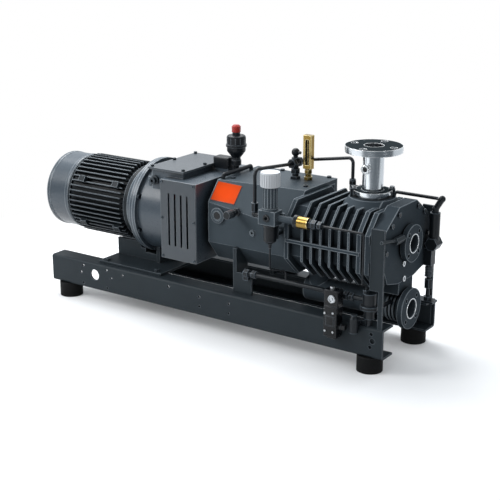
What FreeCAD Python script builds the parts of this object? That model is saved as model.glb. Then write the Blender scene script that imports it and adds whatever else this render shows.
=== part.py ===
"""Dry screw vacuum pump on its base frame, as a parametric document in millimetres.

The pump stands on the floor plane z = 0. X runs from the motor to the suction end,
Y from the front to the rear and Z up. Sizes are worked out from the middle of the
base frame, and every piece is then placed from the middle of the whole pump.
"""
import FreeCAD, Part
import math
import os
import re

import Sketcher
from FreeCAD import Placement, Rotation, Vector

doc = FreeCAD.newDocument("dry_screw_vacuum_pump")
sheet = doc.addObject("Spreadsheet::Sheet", "Sheet")
pieces = []


# Driving dimensions, in millimetres; every number here becomes a named cell of the sheet

# Placing

middle_offset_x = -18.5
middle_offset_y = -4.65
running_gap = 0.05
seat_gap = 0.2

# Base frame

frame_length = 1240.0
frame_width = 328.0
rear_rail_cutback = 60.0
rail_height = 89.0
rail_flange = 60.0
rail_wall = 6.0
rail_bend_radius = 8.0
foot_height = 47.5
foot_diameter = 75.0
foot_thread_radius = 5.1
foot_thread_depth = 28.0
foot_screw_radius = 4.25
foot_screw_depth = 16.0
foot_screw_hole = 5.5
foot_inset = 53.5
foot_web_distance = 29.0
motor_plate_left = -430.0
motor_plate_right = -176.0
motor_plate_half_width = 143.0
motor_plate_thickness = 8.5
saddle_web_spacing = 90.0
saddle_web_thickness = 10.0
saddle_web_low = 168.0
saddle_web_high = 200.0
gusset_place = 93.0
gusset_thickness = 12.0
gusset_foot_length = 66.0
gusset_foot_height = 64.0
post_thickness = 6.0
post_width = 14.0
post_head_width = 42.0
post_head_height = 176.0
post_end_margin = 8.0
post_height = 283.0
stay_x = 612.0
stay_radius = 4.5

# Motor

shaft_height = 324.4
motor_length_end = -588.0
motor_flange_face = -292.0
motor_flange_radius = 150.0
motor_flange_thickness = 12.0
motor_shield_length = 36.0
motor_shield_radius = 118.0
motor_body_radius = 112.0
motor_bore_radius = 100.0
motor_fin_radius = 129.0
motor_fin_thickness = 3.5
motor_fin_count = 48
motor_fin_margin = 24.0
motor_lug_radius = 138.0
motor_lug_length = 24.0
motor_lug_half_width = 10.0
motor_lug_turn = 33.0
motor_lug_margin = 58.0
motor_lug_reach = 97.0
fan_cover_length = 104.0
fan_cover_radius = 122.5
fan_cover_wall = 2.5
fan_cover_slot_count = 24
motor_shaft_radius = 19.0
rotor_core_radius = 66.0
rotor_air_gap = 0.6
motor_core_margin = 58.0
motor_core_length = 150.0
motor_bearing_radius = 36.0
motor_bearing_width = 19.0
fan_blade_count = 8
fan_radius = 98.0
terminal_box_length = 104.0
terminal_box_depth = 56.0
terminal_box_height = 92.0
terminal_box_margin = 118.0

# Coupling housing

lantern_flange_radius = 152.0
lantern_flange_thickness = 12.0
lantern_radius = 139.0
lantern_wall = 10.0
vent_box_left = -163.0
vent_box_right = -30.0
vent_box_half_width = 148.0
vent_box_bottom = 205.0
vent_box_top = 453.0
vent_box_wall = 10.0
vent_cover_thickness = 3.0
vent_slot_width = 8.0
vent_slot_height = 165.0
vent_slot_spacing = 23.3
vent_slot_low = 43.0
sensor_length = 48.0
sensor_front = 30.0
sensor_depth = 34.0
sensor_top = 498.0
top_cover_left = -234.0
top_cover_right = -96.0
top_cover_half_width = 122.0
top_cover_underside = 471.0
top_cover_thickness = 6.0
lantern_plug_x = -236.0
lantern_plug_y = -100.0
coupling_radius = 55.0
coupling_hub_length = 38.0
coupling_gap = 18.0
coupling_left = -250.0

# Gears and rotors

gear_module = 2.5
drive_teeth = 24
pinion_teeth = 16
timing_teeth = 39
gear_width = 24.0
gear_backlash = 0.35
drive_gear_place = 190.0
timing_gear_place = 226.0
input_shaft_radius = 17.0
rotor_shaft_radius = 15.0
rotor_tip_radius = 62.3
rotor_tip_clearance = 0.45
rotor_place = 300.0
rotor_pitch = 57.0
rotor_turns = 4
rotor_thread_share = 0.42
shaft_bearing_radius = 31.0
shaft_bearing_width = 20.0
input_bearing_radius = 36.0
input_bearing_width = 16.0

# Gear casing

casing_left = -7.0
casing_right = 283.0
casing_front = 117.0
casing_top = 457.0
casing_shoulder_left = 66.0
casing_shoulder_right = 33.0
casing_kink_left = 398.0
casing_kink_right = 360.0
casing_foot_height = 274.0
casing_bottom = 214.0
casing_keel = 70.0
casing_rear = 150.0
casing_wall = 14.0
gear_cover_thickness = 20.0
bearing_wall = 26.0
carrier_place = 140.0
carrier_thickness = 18.0
neck_radius = 92.0

# Screw cylinder

cylinder_right = 533.0
cylinder_flange_thickness = 14.0
cylinder_wall = 13.0
fin_front = 145.0
fin_top = 446.0
fin_shoulder = 96.0
fin_shoulder_height = 391.0
fin_foot_height = 280.0
fin_bottom = 223.0
fin_keel = 84.0
fin_thickness = 7.0
fin_first = 339.0
fin_spacing = 30.2
fin_count = 6
side_rib_height = 10.0
inlet_place_x = 480.0
inlet_place_y = 10.0
inlet_pad_radius = 66.0
inlet_pad_top = 461.0
inlet_port_radius = 29.5

# End casting

end_flange_thickness = 15.0
end_casting_right = 600.0
end_casting_inset = 12.0
end_port_height = 347.0
end_flange_face = 622.0
end_port_radius = 54.0
end_port_bore = 25.0
end_port_circle = 84.0
exhaust_height = 153.0
exhaust_radius = 60.0
exhaust_bore = 27.0
exhaust_circle = 90.0
port_bolt_hole = 5.5
port_flange_thickness = 16.0
exhaust_duct_left = 296.0
exhaust_duct_radius = 38.0
port_leg_bottom = 198.0

# Inlet

inlet_top = 608.0
inlet_flange_radius = 82.5
inlet_flange_thickness = 18.0
inlet_tube_radius = 30.15
inlet_tube_wall = 2.9
inlet_bolt_circle = 125.0
inlet_bolt_hole = 9.0
inlet_collar_radius = 47.0
inlet_collar_thickness = 9.0
inlet_ring_radius = 54.5
inlet_ring_thickness = 10.0
clamp_count = 3
clamp_turn = 32.0
clamp_rise = 4.0
clamp_width = 18.0
side_nipple_height = 549.0
side_nipple_radius = 8.5

# Oil fittings and instruments

breather_x = -18.6
breather_y = 47.0
breather_seat = 412.0
breather_body_top = 572.0
breather_body_radius = 31.0
breather_cap_radius = 14.0
breather_cap_height = 22.0
breather_neck_radius = 12.0
breather_neck_height = 10.0
breather_spout_radius = 10.0
sight_glass_x = 31.0
sight_glass_z = 362.0
sight_glass_radius = 23.0
drain_x = 100.0
drain_z = 384.0
plug_x = 155.0
plug_z = 327.0
plate_width = 84.0
plate_height = 64.0
plate_thickness = 1.5
plate_x = 39.0
plate_z = 426.0
valve_x = 182.0
valve_y = 72.0
valve_port_rise = 50.0
valve_ball_rise = 32.0
valve_ball_radius = 12.5
thermometer_x = 220.0
thermometer_y = 84.0
thermometer_height = 137.0
thermometer_half_width = 14.0
riser_x = 200.0
riser_top = 536.0
vent_line_x = 371.0
vent_line_y = 88.0
vent_line_height = 543.0

# Regulator line

regulator_x = 252.5
regulator_reach = 55.0
regulator_block_bottom = 384.0
regulator_block_top = 426.0
regulator_block_width = 56.0
regulator_block_depth = 40.0
regulator_sleeve_radius = 20.0
regulator_knob_bottom = 494.0
regulator_knob_height = 42.0
regulator_knob_radius = 27.5
bowl_radius = 18.5
bowl_bottom = 334.0
check_valve_left = 337.0
check_valve_length = 46.0
check_valve_radius = 17.0
purge_line_height = 404.0
purge_line_x = 556.0

# Switch and small lines

switch_left = 449.0
switch_width = 44.0
switch_depth = 35.0
switch_bottom = 98.0
switch_top = 234.0
outlet_x = 614.0
outlet_inset = 44.0
outlet_offset = 12.0
outlet_union = 318.0
outlet_elbow_x = 645.0
outlet_top = 452.0
loop_x = 4.0
front_pipe_radius = 7.0
front_pipe_inset = 24.0
front_pipe_z = 208.0
front_pipe_end = 425.0
feed_valve_x = 567.0
feed_valve_inset = 16.0
feed_valve_body = 19.0
feed_pipe_z = 210.0
feed_pipe_x = 576.0
filter_x = 536.0
filter_reach = 14.0

dimensions = {name: value for name, value in globals().items() if isinstance(value, (int, float))}
for row, (alias, value) in enumerate(dimensions.items(), 1):
    sheet.set("A%d" % row, alias.replace("_", " "))
    sheet.set("B%d" % row, str(value))
    sheet.setAlias("B%d" % row, alias)
doc.recompute()

# Places that follow from these sizes
follows = {
    "motor_core_start": "motor_length_end + motor_core_margin",
    "terminal_box_place": "motor_length_end + terminal_box_margin",
    "motor_lug_rear": "motor_length_end + motor_lug_margin",
    "motor_lug_front": "motor_flange_face - motor_lug_reach",
    "valve_port_height": "casing_top + valve_port_rise",
    "valve_ball_height": "valve_port_height + valve_ball_rise",
    "thermometer_top": "casing_top + thermometer_height",
    "regulator_y": "-casing_front - regulator_reach",
    "feed_valve_y": "feed_valve_inset - frame_width / 2",
    "filter_y": "-frame_width / 2 - filter_reach",
    "front_pipe_y": "front_pipe_inset - frame_width / 2",
    "outlet_y": "frame_width / 2 - outlet_inset",
    "switch_front": "-frame_width / 2 - switch_depth",
}


def size(alias):
    """Return the present value of a named size."""
    return float(sheet.get(alias))


def formula(text):
    """Turn plain size names in an expression into references to the sheet."""
    def reference(found):
        word = found.group(0)
        if word in follows:
            return "(%s)" % formula(follows[word])
        return "Sheet." + word if word in dimensions else word

    return re.sub(r"[a-z_]{4,}", reference, str(text))


def bind(thing, prop, text):
    """Drive one property of an object from the sheet."""
    thing.setExpression(prop, formula(text))


def keep(thing, label):
    """Name a finished piece and place it from the middle of the whole pump."""
    thing.Label = label
    pieces.append(thing)
    return thing


# Part primitives and booleans

SPIN = {
    "x": Rotation(Vector(0, 1, 0), 90),
    "y": Rotation(Vector(1, 0, 0), -90),
    "z": Rotation(),
}


def move(thing, x, y, z):
    """Bind the place of an object."""
    bind(thing, "Placement.Base.x", x)
    bind(thing, "Placement.Base.y", y)
    bind(thing, "Placement.Base.z", z)
    return thing


def block(x0, x1, y0, y1, z0, z1):
    """A box between two corners."""
    item = doc.addObject("Part::Box", "Block")
    bind(item, "Length", "(%s) - (%s)" % (x1, x0))
    bind(item, "Width", "(%s) - (%s)" % (y1, y0))
    bind(item, "Height", "(%s) - (%s)" % (z1, z0))
    return move(item, x0, y0, z0)


def rod(along, x, y, z, radius, length):
    """A cylinder that starts at a point and runs along one axis."""
    item = doc.addObject("Part::Cylinder", "Rod")
    bind(item, "Radius", radius)
    bind(item, "Height", length)
    item.Placement = Placement(Vector(), SPIN[along])
    return move(item, x, y, z)


def cone(along, x, y, z, radius, end_radius, length):
    """A truncated cone that starts at a point and runs along one axis."""
    item = doc.addObject("Part::Cone", "Taper")
    bind(item, "Radius1", radius)
    bind(item, "Radius2", end_radius)
    bind(item, "Height", length)
    item.Placement = Placement(Vector(), SPIN[along])
    return move(item, x, y, z)


def ball(x, y, z, radius):
    """A sphere."""
    item = doc.addObject("Part::Sphere", "Ball")
    bind(item, "Radius", radius)
    return move(item, x, y, z)


def hexagon(along, x, y, z, across_corners, length):
    """A hexagonal prism, as a nut or a union has."""
    item = doc.addObject("Part::Prism", "Hexagon")
    item.Polygon = 6
    bind(item, "Circumradius", across_corners)
    bind(item, "Height", length)
    item.Placement = Placement(Vector(), SPIN[along])
    return move(item, x, y, z)


def join(*things):
    """Fuse several objects into one."""
    if len(things) == 1:
        return things[0]
    item = doc.addObject("Part::MultiFuse", "Join")
    item.Shapes = list(things)
    item.Refine = True
    return item


def cut(base, *tools):
    """Cut tools out of a base."""
    item = doc.addObject("Part::Cut", "Cut")
    item.Base = base
    item.Tool = join(*tools)
    item.Refine = True
    return item


def group(*things):
    """Hold several separate solids of one kind together."""
    item = doc.addObject("Part::Compound", "Group")
    item.Links = list(things)
    return item


# Bodies from sketches

def plane_of(body, role):
    """Find one of a body's own origin planes or axes."""
    return next(item for item in body.Origin.OriginFeatures if item.Role == role)


def sketch_on(body, role, offset="0"):
    """Add a sketch on an origin plane, moved along the plane's normal."""
    drawing = body.newObject("Sketcher::SketchObject", "Profile")
    drawing.AttachmentSupport = (plane_of(body, role), [""])
    drawing.MapMode = "FlatFace"
    bind(drawing, "AttachmentOffset.Base.z", offset)
    return drawing


def draw_polygon(drawing, corners):
    """Draw a closed outline whose corners are bound to the sheet."""
    start = drawing.GeometryCount
    count = len(corners)
    spots = [Vector(*(doc.Sheet.evalExpression(formula(term)) for term in corner), 0) for corner in corners]
    for index in range(count):
        line = Part.LineSegment(spots[index], spots[(index + 1) % count])
        drawing.addGeometry(line, False)
    for index in range(count):
        after = (index + 1) % count
        drawing.addConstraint(Sketcher.Constraint("Coincident", start + index, 2, start + after, 1))
    for index, (across, up) in enumerate(corners):
        for kind, term, now in (("DistanceX", across, spots[index].x), ("DistanceY", up, spots[index].y)):
            number = drawing.addConstraint(Sketcher.Constraint(kind, -1, 1, start + index, 1, now))
            bind(drawing, "Constraints[%d]" % number, term)


def draw_circle(drawing, across, up, radius):
    """Draw a circle whose centre and radius are bound to the sheet."""
    x, y, r = (doc.Sheet.evalExpression(formula(term)) for term in (across, up, radius))
    start = drawing.addGeometry(Part.Circle(Vector(x, y, 0), Vector(0, 0, 1), r), False)
    for kind, term, now in (("DistanceX", across, x), ("DistanceY", up, y)):
        number = drawing.addConstraint(Sketcher.Constraint(kind, -1, 1, start, 3, now))
        bind(drawing, "Constraints[%d]" % number, term)
    number = drawing.addConstraint(Sketcher.Constraint("Radius", start, r))
    bind(drawing, "Constraints[%d]" % number, radius)


def round_edges(body, radius, chosen):
    """Round the edges of a body whose middle passes a test."""
    doc.recompute()
    last = body.Tip
    names = ["Edge%d" % number for number, edge in enumerate(last.Shape.Edges, 1) if chosen(edge.CenterOfMass)]
    item = body.newObject("PartDesign::Fillet", "Rounding")
    item.Base = (last, names)
    bind(item, "Radius", radius)


def new_body(label):
    """Start a body whose features are drawn round its own origin."""
    body = doc.addObject("PartDesign::Body", "Body")
    return keep(body, label)


def pad(body, drawing, length, reverse=False):
    """Raise a sketch into a solid."""
    item = body.newObject("PartDesign::Pad", "Pad")
    item.Profile = drawing
    bind(item, "Length", length)
    item.Reversed = reverse
    return item


def pocket(body, drawing, length=None, reverse=False):
    """Cut a sketch into the solid, to a depth or right through."""
    item = body.newObject("PartDesign::Pocket", "Pocket")
    item.Profile = drawing
    item.Reversed = reverse
    if length is None:
        item.Type = "ThroughAll"
    else:
        bind(item, "Length", length)
    return item


def turned(label, corners):
    """A body turned from a profile of (length along the axis, radius) corners."""
    body = new_body(label)
    drawing = sketch_on(body, "XY_Plane")
    draw_polygon(drawing, corners)
    item = body.newObject("PartDesign::Revolution", "Turn")
    item.Profile = drawing
    item.ReferenceAxis = (drawing, ["H_Axis"])
    item.Angle = 360
    return body


def stand(body, x, y, z, along="x"):
    """Place a body that was drawn round its own origin."""
    turn = {"x": Rotation(), "y": Rotation(Vector(0, 0, 1), 90), "z": Rotation(Vector(0, 1, 0), -90)}[along]
    body.Placement = Placement(Vector(), turn)
    return move(body, x, y, z)


# Fasteners

def screw(along, x, y, z, head, reach, thread="3.0", socket=False):
    """A screw whose head stands on a seat and whose shank goes into the piece behind it."""
    shape = rod if socket else hexagon
    backward = {"x": ("(%s) - (%s)" % (x, reach), y, z), "y": (x, "(%s) - (%s)" % (y, reach), z),
                "z": (x, y, "(%s) - (%s)" % (z, reach))}[along]
    return join(shape(along, x, y, z, head, "(%s) * 0.75" % head), rod(along, *backward, thread, reach))


def ring_spots(count, circle, turn="0"):
    """Places on a bolt circle as pairs of expressions for the two offsets."""
    return [
        ("(%s) / 2 * cos(%s + %d * 360 / %d)" % (circle, turn, index, count),
         "(%s) / 2 * sin(%s + %d * 360 / %d)" % (circle, turn, index, count))
        for index in range(count)
    ]


# Base frame

FRONT, REAR = "-1", "1"
rail_top = "foot_height + rail_height"
rail_left = {FRONT: "-frame_length / 2", REAR: "rear_rail_cutback - frame_length / 2"}
web_holes = [("-434", "98", "18"), ("-483", "123", "4"), ("-493", "97", "4"), ("-383", "123", "4"),
             ("-364", "99", "4"), ("-483", "63", "4"), ("-382", "63", "4"), ("-316", "118", "4"),
             ("-130", "118", "5"), ("-10", "108", "4"), ("-10", "78", "4"), ("100", "108", "4"),
             ("100", "78", "4"), ("584", "119", "5"), ("588", "99", "8"), ("581", "80", "5")]


def rail(label, side):
    """A bent C-channel whose web is the outside of the frame."""
    body = new_body(label)
    web = "%s * frame_width / 2" % side
    inner = "%s * (frame_width / 2 - rail_wall)" % side
    edge = "%s * (frame_width / 2 - rail_flange)" % side
    low, high = "foot_height", rail_top
    outline = sketch_on(body, "YZ_Plane", rail_left[side])
    draw_polygon(outline, [
        (web, low), (edge, low), (edge, low + " + rail_wall"), (inner, low + " + rail_wall"),
        (inner, high + " - rail_wall"), (edge, high + " - rail_wall"), (edge, high), (web, high)])
    pad(body, outline, "frame_length / 2 - (%s)" % rail_left[side])
    web_line, near = size("frame_width") / 2 - 1, size("frame_length") / 4
    round_edges(body, "rail_bend_radius", lambda spot: abs(spot.y) > web_line and abs(spot.x) < near)
    doc.recompute()
    seats = sketch_on(body, "XY_Plane", "foot_height + rail_wall")
    for x in foot_places(side):
        draw_circle(seats, x, foot_line(side), "foot_screw_hole")
    pocket(body, seats, "rail_wall")
    if side == FRONT:
        holes = sketch_on(body, "XZ_Plane", "frame_width / 2")
        for x, z, radius in web_holes:
            draw_circle(holes, x, z, radius)
        pocket(body, holes, "rail_wall")
    return body


def foot_places(side):
    """The two feet of one rail, along X."""
    return [rail_left[side] + " + foot_inset", "frame_length / 2 - foot_inset"]


def foot_line(side):
    """The line of one rail's feet, across the frame."""
    return "%s * (frame_width / 2 - foot_web_distance)" % side


def foot(label, x, y):
    """A rubber buffer with a threaded insert at each end."""
    body = turned(label, [
        ("0", "foot_thread_radius"), ("0", "foot_diameter / 2"), ("foot_height", "foot_diameter / 2"),
        ("foot_height", "foot_screw_radius"), ("foot_height - foot_screw_depth", "foot_screw_radius"),
        ("foot_height - foot_screw_depth", "0"), ("foot_thread_depth", "0"),
        ("foot_thread_depth", "foot_thread_radius")])
    return stand(body, x, y, "0", "z")


rail("front_rail", FRONT)
rail("rear_rail", REAR)
foot_bolts = []
for side, end in ((FRONT, "front"), (REAR, "rear")):
    for x, hand in zip(foot_places(side), ("left", "right")):
        foot("foot_%s_%s" % (end, hand), x, foot_line(side))
        foot_bolts.append(screw("z", x, foot_line(side), "foot_height + rail_wall", "9.5",
                                "rail_wall + foot_screw_depth - 2", "foot_screw_radius - 0.1"))
keep(group(*foot_bolts), "foot_bolts")

plate_top = "(%s + motor_plate_thickness)" % rail_top
plate_bolt_spots = [(x, "%s * (motor_plate_half_width - 14)" % side)
                    for x in ("motor_plate_left + 26", "motor_plate_right - 26") for side in (FRONT, REAR)]
motor_plate = block("motor_plate_left", "motor_plate_right", "-motor_plate_half_width",
                    "motor_plate_half_width", rail_top, plate_top)
keep(group(*[hexagon("z", x, y, plate_top, "8", "7") for x, y in plate_bolt_spots]), "motor_plate_bolts")


def saddle():
    """Two long webs on the plate that carry the lantern flange, and a bridge below the lantern."""
    webs = []
    for side in (FRONT, REAR):
        near = "%s * saddle_web_spacing / 2 - saddle_web_thickness / 2" % side
        far = "%s * saddle_web_spacing / 2 + saddle_web_thickness / 2" % side
        webs.append(block("motor_plate_left + 2", "-246", near, far, plate_top, "saddle_web_low"))
        webs.append(block("motor_plate_left + 2", "-312", near, far, "saddle_web_low", "saddle_web_high"))
    bridge = block("-259", "-246", "-saddle_web_spacing / 2 - 14", "saddle_web_spacing / 2 + 14",
                   plate_top, "210")
    round_seat = rod("x", "-330", "0", "shaft_height", "lantern_flange_radius", "200")
    clear_seat = rod("x", "-263", "0", "shaft_height", "lantern_radius", "30")
    return cut(join(*webs, cut(bridge, clear_seat)), cut(
        round_seat, rod("x", "motor_flange_face + lantern_flange_thickness + motor_flange_thickness",
                        "0", "shaft_height", "lantern_flange_radius + 1", "200")))


keep(join(motor_plate, saddle()), "motor_plate")


def gusset(label, side):
    """An upright sheet under the gear casing's sloping keel, with a foot tab on the rail."""
    body = new_body(label)
    outline = sketch_on(body, "YZ_Plane", "gusset_place")
    edge = "%s * (casing_front + 13)" % side
    keel = [("%s * casing_keel" % side, "casing_bottom"), ("%s * casing_keel" % side, rail_top)]
    if side == FRONT:
        top = [(edge, "casing_foot_height"), ("-casing_front", "casing_foot_height")]
    else:
        slope = "(casing_foot_height - casing_bottom) / (casing_rear - casing_keel)"
        top = [(edge, "casing_bottom + (casing_front + 13 - casing_keel) * %s" % slope)]
    draw_polygon(outline, [(edge, rail_top)] + top + keel)
    pad(body, outline, "gusset_thickness")
    doc.recompute()
    tab = sketch_on(body, "XY_Plane", rail_top)
    back = "%s * (casing_front + 5)" % side
    draw_polygon(tab, [("gusset_place", edge), ("gusset_place + gusset_foot_length", edge),
                       ("gusset_place + gusset_foot_length", back), ("gusset_place", back)])
    pad(body, tab, "gusset_foot_height")
    return body


gusset("gear_gusset_front", FRONT)
gusset("gear_gusset_rear", REAR)


def post(label, side):
    """An upright at the suction end: a narrow strip with a wide head beside the end casting."""
    body = new_body(label)
    web = "frame_width / 2 - rail_wall"
    right = "frame_length / 2 - post_end_margin"
    head_top = "(%s + post_height)" % rail_top
    head_foot = "(%s - post_head_height)" % head_top
    shoe_top = "%s - rail_wall - 6" % rail_top
    offset = web if side == FRONT else "-(%s)" % web
    outline = sketch_on(body, "XZ_Plane", offset)
    draw_polygon(outline, [
        (right, "foot_height + rail_wall"), (right, head_top),
        (right + " - post_head_width", head_top), (right + " - post_head_width", head_foot),
        (right + " - post_width", head_foot), (right + " - post_width", shoe_top),
        (right + " - post_head_width", shoe_top), (right + " - post_head_width", "foot_height + rail_wall")])
    pad(body, outline, "post_thickness", reverse=side == FRONT)
    return body


post("end_post_front", FRONT)
post("end_post_rear", REAR)


def notch(label, *tools):
    """Cut tools out of a finished piece, which keeps its name."""
    blank = next(thing for thing in pieces if thing.Label == label)
    pieces.remove(blank)
    blank.Label = label + "_blank"
    return keep(cut(blank, *tools), label)


def weld(label, *additions):
    """Join more shapes to a finished piece, which keeps its name."""
    blank = next(thing for thing in pieces if thing.Label == label)
    pieces.remove(blank)
    blank.Label = label + "_blank"
    return keep(join(blank, *additions), label)


post_right = "frame_length / 2 - post_end_margin"
post_front_edge = "frame_width / 2 - rail_wall"
notch("front_rail", block(post_right + " - post_width", post_right, "-(%s)" % post_front_edge,
                          "post_thickness - (%s)" % post_front_edge, rail_top + " - rail_wall - 1",
                          rail_top + " + 1"))
notch("rear_rail", block(post_right + " - post_width", post_right, "%s - post_thickness" % post_front_edge,
                         post_front_edge, rail_top + " - rail_wall - 1", rail_top + " + 1"))


# Motor

motor_right = "motor_flange_face"
shaft_left = "motor_length_end - 60"
fan_left = "motor_length_end - 46"


def lug_corner(side, turn, reach, half):
    """One corner of a lug that stands out from the motor at an angle to the horizontal."""
    return ("%s * (%s) * cos(%s) - (%s) * sin(%s)" % (side, reach, turn, half, turn),
            "%s * (%s) * sin(%s) + (%s) * cos(%s)" % (side, reach, turn, half, turn))


def motor_housing():
    """A ribbed tube: one long fin, repeated round the axis."""
    cover_seat = "fan_cover_radius - fan_cover_wall"
    body = turned("motor_housing", [
        ("motor_length_end", "motor_bore_radius"), ("motor_length_end", cover_seat),
        ("motor_length_end + 16", cover_seat), ("motor_length_end + 16", "motor_body_radius"),
        (motor_right + " - motor_shield_length - 16", "motor_body_radius"),
        (motor_right + " - motor_shield_length - 16", "motor_shield_radius"),
        (motor_right + " - motor_shield_length", "motor_shield_radius"),
        (motor_right + " - motor_shield_length", "motor_bore_radius")])
    doc.recompute()
    start = "motor_length_end + motor_fin_margin"
    outline = sketch_on(body, "YZ_Plane", start)
    half = "motor_fin_thickness / 2"
    draw_polygon(outline, [("-" + half, "motor_body_radius - 4"), (half, "motor_body_radius - 4"),
                           (half, "motor_fin_radius"), ("-" + half, "motor_fin_radius")])
    fin = pad(body, outline, "%s - motor_shield_length - motor_fin_margin - (%s)" % (motor_right, start))
    doc.recompute()
    ring = body.newObject("PartDesign::PolarPattern", "FinRing")
    ring.Originals = [fin]
    ring.Axis = (plane_of(body, "X_Axis"), [""])
    ring.Angle = 360
    bind(ring, "Occurrences", "motor_fin_count")
    body.Tip = ring
    for left in ("motor_lug_rear", "motor_lug_front"):
        for side in (FRONT, REAR):
            for turn in ("motor_lug_turn", "-motor_lug_turn"):
                doc.recompute()
                outline = sketch_on(body, "YZ_Plane", left)
                draw_polygon(outline, [lug_corner(side, turn, reach, half) for reach, half in (
                    ("motor_body_radius - 4", "-motor_lug_half_width"), ("motor_lug_radius", "-motor_lug_half_width"),
                    ("motor_lug_radius", "motor_lug_half_width"), ("motor_body_radius - 4", "motor_lug_half_width"))])
                pad(body, outline, "motor_lug_length")
    return stand(body, "0", "0", "shaft_height")


def fan_cover():
    """A pressed cowl with a ring of air slots in its end."""
    left = "motor_length_end - fan_cover_length"
    radius = "fan_cover_radius"
    inner = "fan_cover_radius - fan_cover_wall"
    body = turned("fan_cover", [
        (left, "0"), (left, radius + " - 34"), (left + " + 10", radius + " - 12"), (left + " + 26", radius),
        ("motor_length_end + 12", radius), ("motor_length_end + 12", inner), (left + " + 27", inner),
        (left + " + 11.5", inner + " - 11"), (left + " + fan_cover_wall", inner + " - 32"),
        (left + " + fan_cover_wall", "0")])
    doc.recompute()
    outline = sketch_on(body, "YZ_Plane", left + " - 1")
    draw_polygon(outline, [("-3", "26"), ("3", "26"), ("4.5", "82"), ("-4.5", "82")])
    slot = pocket(body, outline, "fan_cover_wall + 2", reverse=True)
    doc.recompute()
    ring = body.newObject("PartDesign::PolarPattern", "SlotRing")
    ring.Originals = [slot]
    ring.Axis = (plane_of(body, "X_Axis"), [""])
    ring.Angle = 360
    bind(ring, "Occurrences", "fan_cover_slot_count")
    body.Tip = ring
    return stand(body, "0", "0", "shaft_height")


motor_housing()
fan_cover()
bearing_gap = "motor_shaft_radius + running_gap"
rear_bearing_left = "motor_length_end + 4"
stand(turned("motor_rear_shield", [
    ("motor_length_end - 14", "motor_shaft_radius + 2"), ("motor_length_end - 14", "motor_bearing_radius + 8"),
    ("motor_length_end - 4", "motor_bearing_radius + 14"), ("motor_length_end - 4", "motor_body_radius + 6"),
    ("motor_length_end", "motor_body_radius + 6"), ("motor_length_end", "motor_bore_radius"),
    (rear_bearing_left + " + motor_bearing_width", "motor_bearing_radius + 8"),
    (rear_bearing_left + " + motor_bearing_width", "motor_bearing_radius"),
    (rear_bearing_left, "motor_bearing_radius"), (rear_bearing_left, "motor_shaft_radius + 2")]),
    "0", "0", "shaft_height")
stand(turned("motor_rear_bearing", [
    (rear_bearing_left, bearing_gap), (rear_bearing_left, "motor_bearing_radius"),
    (rear_bearing_left + " + motor_bearing_width", "motor_bearing_radius"),
    (rear_bearing_left + " + motor_bearing_width", bearing_gap)]), "0", "0", "shaft_height")
front_bearing_right = motor_right + " - 4"
stand(turned("motor_flange", [
    (motor_right + " - motor_shield_length", "motor_bearing_radius"),
    (motor_right + " - motor_shield_length", "motor_shield_radius"),
    (motor_right + " - 8", "motor_shield_radius + 6"), (motor_right, "motor_flange_radius"),
    (motor_right + " + motor_flange_thickness", "motor_flange_radius"),
    (motor_right + " + motor_flange_thickness", "motor_shaft_radius + 2"),
    (front_bearing_right, "motor_shaft_radius + 2"), (front_bearing_right, "motor_bearing_radius")]),
    "0", "0", "shaft_height")
stand(turned("motor_front_bearing", [
    (front_bearing_right, bearing_gap), (front_bearing_right, "motor_bearing_radius"),
    (front_bearing_right + " - motor_bearing_width", "motor_bearing_radius"),
    (front_bearing_right + " - motor_bearing_width", bearing_gap)]), "0", "0", "shaft_height")
core_right = "motor_core_start + motor_core_length"
stand(turned("stator", [
    ("motor_core_start - 22", "rotor_core_radius + 8"), ("motor_core_start - 22", "motor_bore_radius - 12"),
    ("motor_core_start", "motor_bore_radius - 12"), ("motor_core_start", "motor_bore_radius"),
    (core_right, "motor_bore_radius"), (core_right, "motor_bore_radius - 12"),
    (core_right + " + 22", "motor_bore_radius - 12"), (core_right + " + 22", "rotor_core_radius + 8"),
    (core_right, "rotor_core_radius + 8"), (core_right, "rotor_core_radius + rotor_air_gap"),
    ("motor_core_start", "rotor_core_radius + rotor_air_gap"), ("motor_core_start", "rotor_core_radius + 8")]),
    "0", "0", "shaft_height")
hub_left = "coupling_left"
hub_right = "coupling_left + coupling_hub_length"
stand(turned("motor_rotor", [
    (shaft_left, "0"), (shaft_left, "motor_shaft_radius"), ("motor_core_start", "motor_shaft_radius"),
    ("motor_core_start", "rotor_core_radius"), (core_right, "rotor_core_radius"),
    (core_right, "motor_shaft_radius"), (hub_right, "motor_shaft_radius"), (hub_right, "0")]),
    "0", "0", "shaft_height")


def cooling_fan():
    """A plastic hub with a disc and radial blades."""
    body = turned("cooling_fan", [
        (fan_left, "motor_shaft_radius"), (fan_left, "34"), (fan_left + " + 26", "34"),
        (fan_left + " + 26", "fan_radius"), (fan_left + " + 29", "fan_radius"),
        (fan_left + " + 29", "motor_shaft_radius")])
    doc.recompute()
    outline = sketch_on(body, "YZ_Plane", fan_left + " + 3")
    draw_polygon(outline, [("-2", "30"), ("2", "30"), ("2", "fan_radius"), ("-2", "fan_radius")])
    blade = pad(body, outline, "25")
    doc.recompute()
    ring = body.newObject("PartDesign::PolarPattern", "BladeRing")
    ring.Originals = [blade]
    ring.Axis = (plane_of(body, "X_Axis"), [""])
    ring.Angle = 360
    bind(ring, "Occurrences", "fan_blade_count")
    body.Tip = ring
    return stand(body, "0", "0", "shaft_height")


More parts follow.
